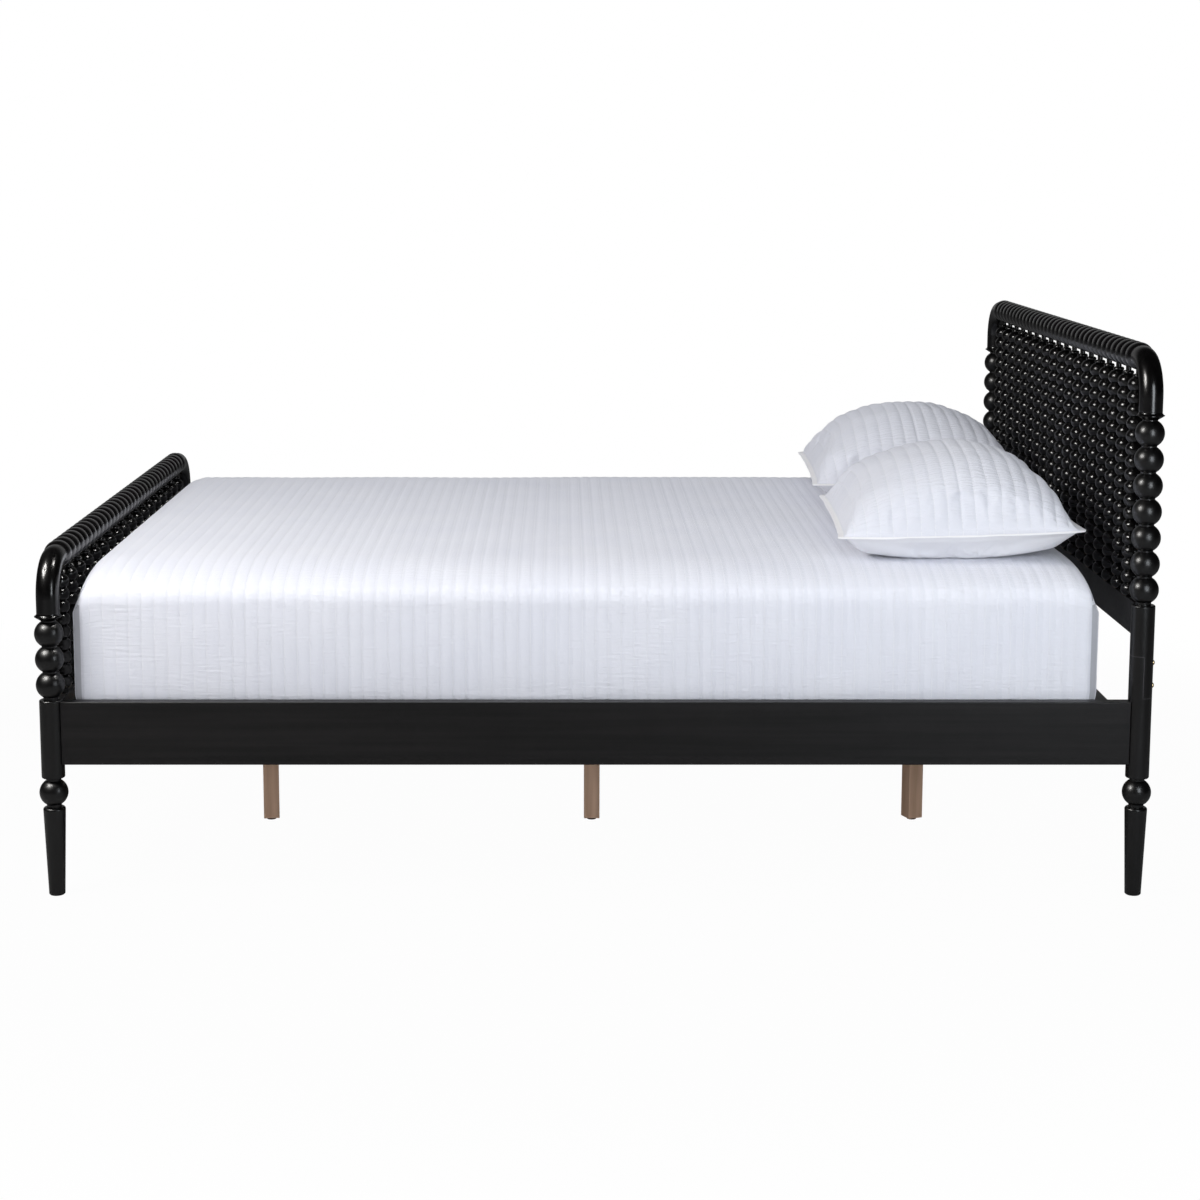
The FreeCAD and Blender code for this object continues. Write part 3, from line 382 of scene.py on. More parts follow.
def finish(name, color, roughness, **sockets):
    """A material with one Principled shader. Returns the material, its tree and the shader."""
    material = bpy.data.materials.new(name)
    material.use_nodes = True
    tree = material.node_tree
    shader = tree.nodes["Principled BSDF"]
    shader.inputs["Base Color"].default_value = (*color, 1.0)
    shader.inputs["Roughness"].default_value = roughness
    for label, value in sockets.items():
        shader.inputs[label.replace("_", " ")].default_value = value
    return material, tree, shader


def placed_group(tree, group, **values):
    node = tree.nodes.new("ShaderNodeGroup")
    node.node_tree = group
    for label, value in values.items():
        node.inputs[label].default_value = value
    return node


def spread(tree, mask, low, high):
    """Map a mask onto a range."""
    return map_range(tree, mask, MASK_LOW, MASK_HIGH, low, high)


def two_tone(tree, mask, dark, light):
    ramp = tree.nodes.new("ShaderNodeValToRGB")
    ramp.color_ramp.elements[0].color = (*dark, 1.0)
    ramp.color_ramp.elements[0].position = MASK_LOW
    ramp.color_ramp.elements[1].color = (*light, 1.0)
    ramp.color_ramp.elements[1].position = MASK_HIGH
    tree.links.new(mask, ramp.inputs["Fac"])
    return ramp.outputs["Color"]


def bumped(tree, shader, height, depth, under=None):
    """Add a bump of the given depth in metres, on top of an earlier one."""
    bump = tree.nodes.new("ShaderNodeBump")
    bump.inputs["Strength"].default_value = 1.0
    bump.inputs["Distance"].default_value = depth
    tree.links.new(height, bump.inputs["Height"])
    if under is not None:
        tree.links.new(under, bump.inputs["Normal"])
    tree.links.new(bump.outputs["Normal"], shader.inputs["Normal"])
    return bump.outputs["Normal"]


# %% Black paint
ALONG_BED = (0.03, 1.0, 1.0)
ACROSS_BED = (1.0, 0.03, 1.0)
UPRIGHT = (1.0, 1.0, 0.05)
PAINT_DARK = (0.0012, 0.0010, 0.0012)
PAINT_LIGHT = (0.0062, 0.0052, 0.0057)
JOINT_LINE = (0.040, 0.037, 0.041)
RUBBED = (-0.04, 0.06)
TURNED_TONE = 0.35
# The grain's direction, roughness, gloss, the grain's depth and tone. Boards are given their own direction.
POST_FINISH = (UPRIGHT, 0.32, 0.5, 0.00002, TURNED_TONE)
TURNED_FINISH = (UPRIGHT, 0.20, 0.5, 0.00004, TURNED_TONE)
BOARD_FINISH = (0.42, 0.40, 0.00014)


def black_paint(name, stretch, rough, gloss, grain_depth, tone=1.0):
    dark, light = [tuple(tone * c for c in color) for color in (PAINT_DARK, PAINT_LIGHT)]
    material, tree, shader = finish(name, dark, rough, Specular_IOR_Level=gloss)
    cloud = placed_group(tree, mottle, Scale=14.0)
    wood = placed_group(tree, grain, Stretch=stretch, Scale=90.0)
    tree.links.new(two_tone(tree, wood.outputs["Figure"], dark, light), shader.inputs["Base Color"])
    uneven = spread(tree, cloud.outputs["Mask"], rough + RUBBED[0], rough + RUBBED[1])
    tree.links.new(uneven, shader.inputs["Roughness"])
    bumped(tree, shader, wood.outputs["Pores"], grain_depth)
    return material


def lapped_paint(name):
    """The posts' paint, with a fine pale line where the two parts of a head post meet."""
    material = black_paint(name, *POST_FINISH)
    tree = material.node_tree
    shader = tree.nodes["Principled BSDF"]
    leg_box, post_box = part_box("head_leg_left"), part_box("head_post_left")
    middle = (leg_box[0].x + leg_box[1].x) / 2
    lap = placed_group(tree, joint, Low=post_box[0].z, High=leg_box[1].z, Plane=middle)
    paint = shader.inputs["Base Color"].links[0].from_socket
    tree.links.new(mixed_color(tree, lap.outputs["Mask"], paint, JOINT_LINE), shader.inputs["Base Color"])
    return material


post_paint = lapped_paint("black_paint_head_posts")
satin_paint = black_paint("black_paint_posts", *POST_FINISH)
turned_paint = black_paint("black_paint_turned", *TURNED_FINISH)
long_board_paint = black_paint("black_paint_side_boards", ALONG_BED, *BOARD_FINISH)
cross_board_paint = black_paint("black_paint_cross_boards", ACROSS_BED, *BOARD_FINISH)


# %% Bare wood
def bare_wood(name, stretch, dark, light):
    material, tree, shader = finish(name, light, 0.62, Specular_IOR_Level=0.3)
    wood = placed_group(tree, grain, Stretch=stretch, Scale=70.0)
    tree.links.new(two_tone(tree, wood.outputs["Figure"], dark, light), shader.inputs["Base Color"])
    tree.links.new(spread(tree, wood.outputs["Pores"], 0.55, 0.72), shader.inputs["Roughness"])
    bumped(tree, shader, wood.outputs["Pores"], 0.00015)
    return material


LEG_GRAIN = (1.0, 1.0, 0.06)
# The legs' grain is the wood's own, but their colours are painted far lighter than the same wood in the beams
# and slats: painted light, for legs that stand in the bed's shade.
leg_wood_painted_light = bare_wood("bare_wood_legs_painted_light", LEG_GRAIN, (0.58, 0.37, 0.25), (0.80, 0.55, 0.40))
beam_wood = bare_wood("bare_wood_beams", ALONG_BED, (0.34, 0.24, 0.15), (0.52, 0.39, 0.26))
slat_wood = bare_wood("bare_wood_slats", ACROSS_BED, (0.42, 0.31, 0.20), (0.60, 0.46, 0.32))


# %% Metal and plastic
DULL = 0.82


def mottled_metal(name, color, low, high):
    material, tree, shader = finish(name, color, low, Metallic=1.0)
    cloud = placed_group(tree, mottle, Scale=60.0)
    shade = tuple(DULL * c for c in color)
    tree.links.new(two_tone(tree, cloud.outputs["Mask"], shade, color), shader.inputs["Base Color"])
    tree.links.new(spread(tree, cloud.outputs["Mask"], low, high), shader.inputs["Roughness"])
    bumped(tree, shader, cloud.outputs["Mask"], 0.00005)
    return material


zinc = mottled_metal("zinc_steel", (0.62, 0.63, 0.64), 0.28, 0.45)
brass = mottled_metal("brass", (0.78, 0.60, 0.32), 0.18, 0.32)
glide_plastic, tree, shader = finish("black_plastic", (0.015, 0.015, 0.015), 0.5, Specular_IOR_Level=0.4)
cloud = placed_group(tree, mottle, Scale=80.0)
tree.links.new(spread(tree, cloud.outputs["Mask"], 0.42, 0.6), shader.inputs["Roughness"])
bumped(tree, shader, cloud.outputs["Mask"], 0.0001)

# %% Dress the frame's nodes
FINISHES = {
    "side_rail": long_board_paint, "head_bottom_rail": cross_board_paint,
    "head_cross_rail": cross_board_paint, "foot_cross_rail": cross_board_paint,
    "support_leg": leg_wood_painted_light, "centre_beam": beam_wood,
    "slat_ledge": beam_wood, "slat_screws": zinc, "slat": slat_wood, "rail_dowels": slat_wood, "lap": brass,
    "leg_glides": glide_plastic, "leg_hanger_bolts": zinc, "beam_hangers": zinc, "hanger_screws": zinc,
    "ledge_screws": zinc, "rail_bolts": zinc, "barrel_nuts": zinc,
    "head_post": post_paint, "head_leg": post_paint, "foot_post": satin_paint,
}
SOFT_NODES = ("mattress", "coverlet", "pillow_left", "pillow_right")


def finish_of(node):
    """The finish whose name starts the node's name, the longest first, or else the turned pieces' paint."""
    for start in sorted(FINISHES, key=len, reverse=True):
        if node.startswith(start):
            return FINISHES[start]
    return turned_paint


for node, obj in nodes.items():
    if node not in SOFT_NODES:
        for material_slot in obj.material_slots:
            material_slot.material = finish_of(node)
print("dressed:", len(nodes) - len(SOFT_NODES), "nodes")

# %% [markdown]
# ## Cloth finishes
# The cover and pillows are washed cotton, white with a faint blue cast. Close up there is a plain weave,
# stitches along every channel, and short creases where washing has shrunk the cloth between the seams.
# The cover's upright corners are a greyer cotton, as painted shade where the cloth turns away from the lamps.
# The plain panels under the pillows are a whiter cotton, painted light where they lie in shade, and the
# mattress wears a plain knitted ticking.


# %% Cotton and ticking
COTTON = (0.80, 0.815, 0.885)
COTTON_DARK = (0.785, 0.800, 0.875)
COTTON_LIGHT = (0.815, 0.828, 0.893)
STITCH_TONE = (0.84, 0.852, 0.908)
WEAVE_DEPTH = 0.00012
SEAM_DEPTH = -0.0003
BELLY_PAINTED_LIGHT = (1.11, 1.09, 1.03)
TICKING_DARK = (0.72, 0.72, 0.72)
TICKING_LIGHT = (0.82, 0.82, 0.82)


def cotton(name, pitch, crease_depth, tone=1.0):
    """Quilted cotton, or plain cotton where the pitch of its channels is 0.

    The tone multiplies its colours, as one number or as one for each of red, green and blue.
    """
    material, tree, shader = finish(name, COTTON, 0.88, Specular_IOR_Level=0.18,
                                    Sheen_Weight=0.15, Sheen_Roughness=0.6)
    threads = placed_group(tree, weave, Thread=0.0007)
    creases = placed_group(tree, crease)
    dark, light = [tuple(np.multiply(tone, color)) for color in (COTTON_DARK, COTTON_LIGHT)]
    shade = two_tone(tree, creases.outputs["Mask"], dark, light)
    tree.links.new(spread(tree, threads.outputs["Height"], 0.92, 0.84), shader.inputs["Roughness"])
    creased = bumped(tree, shader, creases.outputs["Height"], crease_depth)
    woven = bumped(tree, shader, threads.outputs["Height"], WEAVE_DEPTH, creased)
    if pitch == 0:
        tree.links.new(shade, shader.inputs["Base Color"])
        return material
    sewn = placed_group(tree, stitches, Pitch=pitch)
    thread = mixed_color(tree, sewn.outputs["Mask"], shade, np.multiply(tone, STITCH_TONE))
    tree.links.new(thread, shader.inputs["Base Color"])
    bumped(tree, shader, sewn.outputs["Seam"], SEAM_DEPTH, woven)
    return material


COVER_PITCH = 0.0253
PILLOW_PITCH = 0.0274
cover_cotton = cotton("quilted_cotton_cover", COVER_PITCH, 0.0021)
pillow_cotton = cotton("quilted_cotton_pillow", PILLOW_PITCH, 0.006, 0.94)
# The plain lower panels are a plain weave, but their colour is painted whiter than the quilted cotton:
# painted light on the pillows' shaded undersides.
plain_cotton = cotton("plain_cotton_pillow", 0, 0.002, BELLY_PAINTED_LIGHT)
# A greyer cotton for the cover's upright corners: painted shade, where the cloth turns away from the lamps.
corner_shade_cotton = cotton("cotton_painted_corner_shade", 0, 0.001, 0.62)
ticking, tree, shader = finish("ticking", (0.78, 0.78, 0.78), 0.9, Specular_IOR_Level=0.15)
threads = placed_group(tree, weave, Thread=0.0016)
cloud = placed_group(tree, mottle, Scale=30.0)
shade = two_tone(tree, cloud.outputs["Mask"], TICKING_DARK, TICKING_LIGHT)
tree.links.new(shade, shader.inputs["Base Color"])
bumped(tree, shader, threads.outputs["Height"], 0.0003)

# %% [markdown]
# ## Cloth as grids
# Every soft piece here starts as a flat cloth with rows and columns. Keeping that grid has two gains:
# the cloth's own coordinates are known everywhere, for seams, stitches and weave, and a grid from
# a simulation can be made finer by interpolation before its channels are pressed in.


# %% Grid helpers
def grid_faces(rows, columns, first=0, flip=False):
    index = first + np.arange(rows * columns).reshape(rows, columns)
    quads = np.stack([index[:-1, :-1], index[1:, :-1], index[1:, 1:], index[:-1, 1:]], axis=-1).reshape(-1, 4)
    return quads[:, ::-1] if flip else quads


def cloth_object(name, points, faces, flat_places, material):
    """A mesh whose flat cloth coordinates are kept as UVs, in metres, under the name cloth."""
    mesh = bpy.data.meshes.new(name)
    mesh.from_pydata(points.tolist(), [], faces.tolist())
    layer = mesh.uv_layers.new(name="cloth")
    corner = np.zeros(len(mesh.loops), dtype=np.int32)
    mesh.loops.foreach_get("vertex_index", corner)
    layer.data.foreach_set("uv", flat_places[corner].astype(np.float32).ravel())
    mesh.polygons.foreach_set("use_smooth", np.ones(len(mesh.polygons), dtype=bool))
    mesh.materials.append(material)
    mesh.validate()
    obj = bpy.data.objects.new(name, mesh)
    scene.collection.objects.link(obj)
    return obj


def grid_normals(points):
    """Unit normals of a rows x columns x 3 grid."""
    along = np.gradient(points, axis=0)
    across = np.gradient(points, axis=1)
    normal = np.cross(along, across)
    return normal / np.maximum(np.linalg.norm(normal, axis=-1, keepdims=True), 1e-12)


def clouds(points, size, seed):
    """Smooth noise from -1 to 1 at the points, with features of the given size in metres."""
    flat = points.reshape(-1, 3) / size + seed
    values = np.array([noise.noise(Vector(p)) for p in flat])
    return values.reshape(points.shape[:-1])


# %% [markdown]
# ## Mattress
# A thick sprung mattress: flat below, with a top that falls away softly to its long edges, sides that bulge a
# little, and a tape round its lower edge. Its ticking shows between the slats and wherever the cover ends.
# A rounded box made of one wrapped grid is enough, because nothing on it is sewn through.

# %% Rounded box with soft edges
MATTRESS_LOW, MATTRESS_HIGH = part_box("mattress")
COVER_LOW, COVER_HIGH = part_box("coverlet")
EDGE_ROUND = 0.014
LONG_PUFF = (0.210, 0.052)
END_PUFF = (0.045, 0.026)
BULGE = 0.006
BULGE_END_POWER = 8
BULGE_SIDE_POWER = 6
HEAD_EASE = 0.007
FOOT_EASE = 0.009


def edge_steps(count):
    """Distances that lie evenly round an eighth of a circle of unit radius when pressed onto it."""
    return np.tan(np.linspace(0.0, math.pi / 4, count + 1))


def face_lines(half, radius, count, steps):
    """Grid lines across a flat face of a rounded box: even in the middle, closer at both rounded edges."""
    inner = half - radius
    middle = np.linspace(-inner, inner, count + 1)
    edge = inner + radius * edge_steps(steps)[1:]
    return np.concatenate([-edge[::-1], middle, edge])


def side_lines(low, top, radius, count, steps):
    inner = top - radius
    return np.concatenate([np.linspace(low, inner, count + 1), inner + radius * edge_steps(steps)[1:]])


def rounded(points, half_x, half_y, top, radius):
    """Press points of a sharp box onto the rounded one. Heights are only rounded at the top."""
    inner = np.stack([np.clip(points[..., 0], radius - half_x, half_x - radius),
                      np.clip(points[..., 1], radius - half_y, half_y - radius),
                      np.minimum(points[..., 2], top - radius)], axis=-1)
    out = points - inner
    out = out / np.maximum(np.linalg.norm(out, axis=-1, keepdims=True), 1e-9)
    return inner + radius * out, out


def puff(inward, reach, drop):
    """How far an edge's soft rounding lies below the level top, at a distance inward from that edge."""
    share = np.clip(1.0 - inward / reach, 0.0, 1.0)
    return drop * (1.0 - np.sqrt(1.0 - share ** 2))


def top_drop(x, y, half_x, half_y):
    return puff(half_y - np.abs(y), *LONG_PUFF) + puff(half_x - np.abs(x), *END_PUFF)


def bed_form(points, low, top, half_x, half_y, middle_x):
    """Soften the top towards its edges and bulge the sides of a rounded box, then move it along the bed."""
    share_y = np.clip(points[..., 1] / half_y, -1.0, 1.0)
    share_x = np.clip(points[..., 0] / half_x, -1.0, 1.0)
    share_z = np.clip((points[..., 2] - low) / (top - low), 0.0, 1.0)
    formed = points.copy()
    formed[..., 2] -= share_z * top_drop(points[..., 0], points[..., 1], half_x, half_y)
    swell = BULGE * np.sin(math.pi * share_z) * (1 - share_x ** BULGE_END_POWER)
    formed[..., 1] += np.sign(share_y) * np.abs(share_y) ** BULGE_SIDE_POWER * swell
    formed[..., 0] += middle_x
    return formed


# %% One wrapped grid
def wrapped_box(half_x, half_y, low, top, radius, counts, steps, closed):
    """Five grids of a rounded box, top, sides and ends, and a flat base where it is closed.

    Returns points, outward directions, flat cloth places, distances to the nearest upright corner and faces.
    """
    xs = face_lines(half_x, radius, counts[0], steps)
    ys = face_lines(half_y, radius, counts[1], steps)
    zs = side_lines(low, top, radius, counts[2], steps)
    patches = []

    def add(points, along, across, corner, flip):
        patches.append((points, np.stack([along, across], axis=-1), corner, flip))

    x, y = np.meshgrid(xs, ys, indexing="ij")
    far = np.full_like(x, half_x)
    add(np.stack([x, y, np.full_like(x, top)], axis=-1), x + half_x, y, far, False)
    if closed:
        add(np.stack([x, y, np.full_like(x, low)], axis=-1), x + half_x, y, far, True)
    x, z = np.meshgrid(xs, zs, indexing="ij")
    for side in (-1, 1):
        drop = half_y + top - z
        add(np.stack([x, np.full_like(x, side * half_y), z], axis=-1), x + half_x, side * drop,
            half_x - np.abs(x), side > 0)
    y, z = np.meshgrid(ys, zs, indexing="ij")
    for end in (-1, 1):
        drop = half_x + top - z
        add(np.stack([np.full_like(y, end * half_x), y, z], axis=-1), end * drop + half_x, y,
            half_y - np.abs(y), end < 0)
    points, outs, flats, corners, faces = [], [], [], [], []
    first = 0
    for sharp, flat, corner, flip in patches:
        faces.append(grid_faces(*sharp.shape[:2], first=first, flip=flip))
        pressed, out = rounded(sharp, half_x, half_y, top, radius)
        points.append(pressed.reshape(-1, 3))
        outs.append(out.reshape(-1, 3))
        flats.append(flat.reshape(-1, 2))
        corners.append(corner.ravel())
        first += corner.size
    return (np.concatenate(points), np.concatenate(outs), np.concatenate(flats), np.concatenate(corners),
            np.concatenate(faces))


WELD = 1e-6


def welded(points, faces):
    """Give points that coincide one number, so that the grids join without a crack."""
    keys = np.round(points / WELD).astype(np.int64)
    _, first, number = np.unique(keys, axis=0, return_index=True, return_inverse=True)
    return points[first], number.ravel()[faces]


def wrapped_object(name, points, faces, flats, material):
    """A cloth object whose grids are joined, while each keeps its own flat places at the shared edges."""
    joined, joined_faces = welded(points, faces)
    mesh = bpy.data.meshes.new(name)
    mesh.from_pydata(joined.tolist(), [], joined_faces.tolist())
    layer = mesh.uv_layers.new(name="cloth")
    layer.data.foreach_set("uv", flats[faces.ravel()].astype(np.float32).ravel())
    mesh.polygons.foreach_set("use_smooth", np.ones(len(mesh.polygons), dtype=bool))
    mesh.materials.append(material)
    obj = bpy.data.objects.new(name, mesh)
    scene.collection.objects.link(obj)
    return obj


# %% Mattress
TAPE_RISE = 0.014
TAPE_PROUD = 0.0025
TAPE_HALF = 0.006
MATTRESS_COUNTS = (100, 120, 40)
MATTRESS_STEPS = 4

half_x = (MATTRESS_HIGH.x - MATTRESS_LOW.x - HEAD_EASE - FOOT_EASE) / 2
middle_x = MATTRESS_LOW.x + FOOT_EASE + half_x
half_y = (MATTRESS_HIGH.y - MATTRESS_LOW.y) / 2 - BULGE
low = MATTRESS_LOW.z
top = MATTRESS_HIGH.z
points, outs, flats, _, faces = wrapped_box(half_x, half_y, low, top, EDGE_ROUND, MATTRESS_COUNTS,
                                            MATTRESS_STEPS, True)
tape = TAPE_PROUD * np.exp(-((points[:, 2] - low - TAPE_RISE) / TAPE_HALF) ** 2)
sideways = np.where(points[:, 2:3] > low + WELD, outs * (1, 1, 0), 0.0)
points = bed_form(points + tape[:, None] * sideways, low, top, half_x, half_y, middle_x)
mattress = wrapped_object("mattress_ticking", points, faces, flats, ticking)
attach(mattress, "mattress")
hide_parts("mattress")
print("mattress faces:", len(mattress.data.polygons))

# %% [markdown]
# ## Quilted cover
# The cover is a washed cotton quilt fitted over the mattress. Its sewn channels run across the bed, over the
# edge and straight down both long sides, and lie level on the ends, because it was cut from one flat quilt.
# Relief this even is quicker and cleaner to press into a fine grid than to simulate: each channel is a low
# rounded roll between two sewn lines. Where the cover is tucked in behind the side rail, the rolls swell and
# the seams stay back, which gives the row of small notches above the rail.
# At both ends the cover swells past its corners, and a grey strip of painted shade runs down each of them.

# %% Measures of the cover
COVER_HEM = 0.020
ROLL_DEPTH_TOP = 0.0016
ROLL_DEPTH_SIDE = 0.0010
TUCK_TOP = 0.412
TUCK_LOW = 0.382
TUCK_SWELL = 0.0012
CORNER_FADE = 0.05
TOP_FADE = (0.2, 0.9)
LOFT = 0.012
TUCK_IN = 0.003
END_SWELL = 0.010
SWELL_FADE = (0.05, 0.22)
FADE_FROM = -0.02
CORNER_SHADE_TURN = (math.radians(36.0), math.radians(73.0))
SIDE_LIMIT = 0.3
SWELL_START = 0.0015
SWELL_FULL = 0.013
ROLL_POINTS = 8
COVER_COUNTS = (190, 60)
COVER_STEPS = 5
SEAM_BACK = 0.45
# Depth, size and seed
COVER_DENTS = ((0.0016, 0.33, 3.7), (0.0007, 0.11, 8.1))
TUCKED_DENTS = 0.4


def smooth_step(value, start, end):
    share = np.clip((value - start) / (end - start), 0.0, 1.0)
    return share * share * (3 - 2 * share)


def roll(along, pitch, fullness=0.55):
    """0 on a seam, 1 on a roll's crest."""
    return np.abs(np.sin(math.pi * along / pitch)) ** fullness


# %% Channels and dents
half_x = (COVER_HIGH.x - COVER_LOW.x - HEAD_EASE - FOOT_EASE) / 2
middle_x = COVER_LOW.x + FOOT_EASE + half_x
half_y = (COVER_HIGH.y - COVER_LOW.y) / 2 - BULGE
top = COVER_HIGH.z + LOFT
hem = MATTRESS_LOW.z + COVER_HEM
channels = round(2 * half_x / COVER_PITCH)
counts = (channels * ROLL_POINTS, *COVER_COUNTS)
points, outs, flats, corners, faces = wrapped_box(half_x, half_y, hem, top, EDGE_ROUND, counts, COVER_STEPS,
                                                  False)
crest = roll(flats[:, 0], 2 * half_x / channels)
fade = smooth_step(corners, 0.0, CORNER_FADE)
upward = smooth_step(outs[:, 2], *TOP_FADE)
depth = ROLL_DEPTH_SIDE + (ROLL_DEPTH_TOP - ROLL_DEPTH_SIDE) * upward
tucked = 1.0 - smooth_step(points[:, 2], TUCK_LOW, TUCK_TOP)
relief = fade * (crest - 1.0) * depth + tucked * (fade * (crest - SEAM_BACK) * TUCK_SWELL - TUCK_IN)
soft = sum(deep * clouds(points, size, seed) for deep, size, seed in COVER_DENTS)
relief = relief + np.where(points[:, 2] > TUCK_TOP, soft, TUCKED_DENTS * soft)
print("relief from", round(1000 * relief.min(), 1), "to", round(1000 * relief.max(), 1), "mm")

# %% Swelling ends, and corner strips of painted shade
rise = np.clip((points[:, 2] - hem) / (top - EDGE_ROUND - hem), 0.0, 1.0)
from_seam = smooth_step(half_y - np.abs(points[:, 1]), SWELL_START, SWELL_FULL)
at_end = half_x - np.abs(points[:, 0]) < EDGE_ROUND
fade_high = smooth_step(1.0 - rise, FADE_FROM, SWELL_FADE[0])
fade_low = smooth_step(rise, FADE_FROM, SWELL_FADE[1])
swell = END_SWELL * fade_high * fade_low * from_seam * at_end * np.sign(points[:, 0])
# The faces round each upright corner take the greyer cotton of painted shade.
turn = np.arctan2(np.abs(outs[:, 0]), np.abs(outs[:, 1]))[faces].mean(axis=1)
on_sides = (np.abs(outs[:, 2])[faces] < SIDE_LIMIT).all(axis=1)
corner_shade_faces = on_sides & (turn > CORNER_SHADE_TURN[0]) & (turn < CORNER_SHADE_TURN[1])
print("corner shade faces:", corner_shade_faces.sum())

# %% Cover
points = bed_form(points, hem, top, half_x, half_y, middle_x) + relief[:, None] * outs
points[:, 0] += swell
cover = wrapped_object("quilted_cover", points, faces, flats, cover_cotton)
# The corner faces get the greyer cotton: painted shade.
cover.data.materials.append(corner_shade_cotton)
cover.data.polygons.foreach_set("material_index", corner_shade_faces.astype(np.int32))
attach(cover, "mattress")
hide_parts("coverlet")
print("cover channels:", channels, "faces:", len(cover.data.polygons))

# %% [markdown]
# ## Pillows
# Each pillow is two panels sewn together round the edge: the upper one quilted, the lower one plain.
# A real pillow gets its shape from its filling pressing against that seam, so the form is blown up by a short
# cloth simulation from a leaner shape, and no point moves further than a set distance.
# Its sides draw in between the corners and small puckers form at the seam.
# The sewn channels and the flat welt at the edge come after that, and last the pillow settles on the cover.

# %% Lean pillow
PILLOW_HALF = (0.268, 0.3330)
PILLOW_WAIST = (0.010, 0.002)
PILLOW_CROWN = 0.136
PILLOW_BELLY = 0.047
CORNER_PULL = 0.055
CORNER_POWER = 4
FULLNESS = (2.2, 0.75)
WELT = 0.011
WELT_HALF = 0.0014
GRID = (80, 106)


def pillow_panel(rise, sign):
    """One panel as a grid of points, bowed up or down, its edge at height 0."""
    s, t = np.meshgrid(np.linspace(-1, 1, GRID[0] + 1), np.linspace(-1, 1, GRID[1] + 1), indexing="ij")
    x = s * (PILLOW_HALF[0] - WELT - PILLOW_WAIST[0] * (1 - t ** 2))
    y = t * (PILLOW_HALF[1] - WELT - PILLOW_WAIST[1] * (1 - s ** 2))
    blunt = 1.0 - CORNER_PULL * np.abs(s * t) ** CORNER_POWER
    x, y = blunt * x, blunt * y
    along, power = FULLNESS
    full = np.sqrt(np.maximum(0.0, 1 - t ** 2)) * np.maximum(0.0, 1 - np.abs(s) ** along) ** power
    return np.stack([x, y, sign * rise * full], axis=-1)


def edge_mask(shape):
    mask = np.zeros(shape, dtype=bool)
    mask[0, :] = mask[-1, :] = mask[:, 0] = mask[:, -1] = True
    return mask


upper = pillow_panel(PILLOW_CROWN, 1)
lower = pillow_panel(PILLOW_BELLY, -1)
print("pillow grid:", upper.shape[:2])

# %% Blow it up
CLOTH = {
    "quality": 5, "mass": 0.25, "tension_stiffness": 25.0, "compression_stiffness": 12.0,
    "shear_stiffness": 8.0, "bending_stiffness": 0.6, "use_pressure": True, "uniform_pressure_force": 4.0,
}
FRAMES = 20
MOST_MOVE = 0.020


def blown_up(upper, lower):
    """Join both panels at the edge, run the cloth and return the two grids again."""
    count = upper.shape[0] * upper.shape[1]
    numbers = np.arange(count).reshape(upper.shape[:2])
    below = count + np.arange(count).reshape(upper.shape[:2])
    shared = edge_mask(numbers.shape)
    below[shared] = numbers[shared]
    points = np.concatenate([upper.reshape(-1, 3), lower.reshape(-1, 3)])
    faces = grid_faces(*upper.shape[:2])
    under = below.ravel()[grid_faces(*upper.shape[:2], flip=True)]
    used, tidy = np.unique(np.concatenate([faces, under]), return_inverse=True)
    mesh = bpy.data.meshes.new("pillow_trial")
    mesh.from_pydata(points[used].tolist(), [], tidy.reshape(-1, 4).tolist())
    trial = bpy.data.objects.new("pillow_trial", mesh)
    scene.collection.objects.link(trial)
    cloth = trial.modifiers.new("cloth", "CLOTH")
    for setting, value in CLOTH.items():
        setattr(cloth.settings, setting, value)
    cloth.settings.effector_weights.gravity = 0.0
    cloth.point_cache.frame_start = 1
    cloth.point_cache.frame_end = FRAMES
    for step in range(1, FRAMES + 1):
        scene.frame_set(step)
    result = trial.evaluated_get(bpy.context.evaluated_depsgraph_get()).data
    after = np.zeros(len(result.vertices) * 3)
    result.vertices.foreach_get("co", after)
    move = after.reshape(-1, 3) - points[used]
    length = np.linalg.norm(move, axis=1, keepdims=True)
    move *= np.minimum(1.0, MOST_MOVE / np.maximum(length, 1e-9))
    settled = points.copy()
    settled[used] += move
    scene.frame_set(1)
    bpy.data.objects.remove(trial)
    print("pillow moved by up to", round(float(length.max()) * 1000, 1), "mm, capped")
    return settled[numbers], settled[below]


upper, lower = blown_up(upper, lower)


# %% Finer grid, channels and welt
PILLOW_ROLL = 0.0036
PILLOW_CHANNELS = 18
PILLOW_FULLNESS = 0.4
EDGE_FADE = 0.04
# Depth, size and number added to the seed
PILLOW_DENTS = ((0.006, 0.16, 0), (0.0025, 0.06, 5))
UNDER_DENTS = (0.003, 0.12, 9)
WELT_WAVE = (0.0016, 0.05, 13)


def doubled(points):
    """Insert a smooth point between every two neighbours, along both directions of the grid."""
    for axis in (0, 1):
        p = np.moveaxis(points, axis, 0)
        padded = np.concatenate([2 * p[:1] - p[1:2], p, 2 * p[-1:] - p[-2:-1]])
        between = (-padded[:-3] + 9 * padded[1:-2] + 9 * padded[2:-1] - padded[3:]) / 16
        finer = np.empty((2 * len(p) - 1, *p.shape[1:]))
        finer[0::2] = p
        finer[1::2] = between
        points = np.moveaxis(finer, 0, axis)
    return points


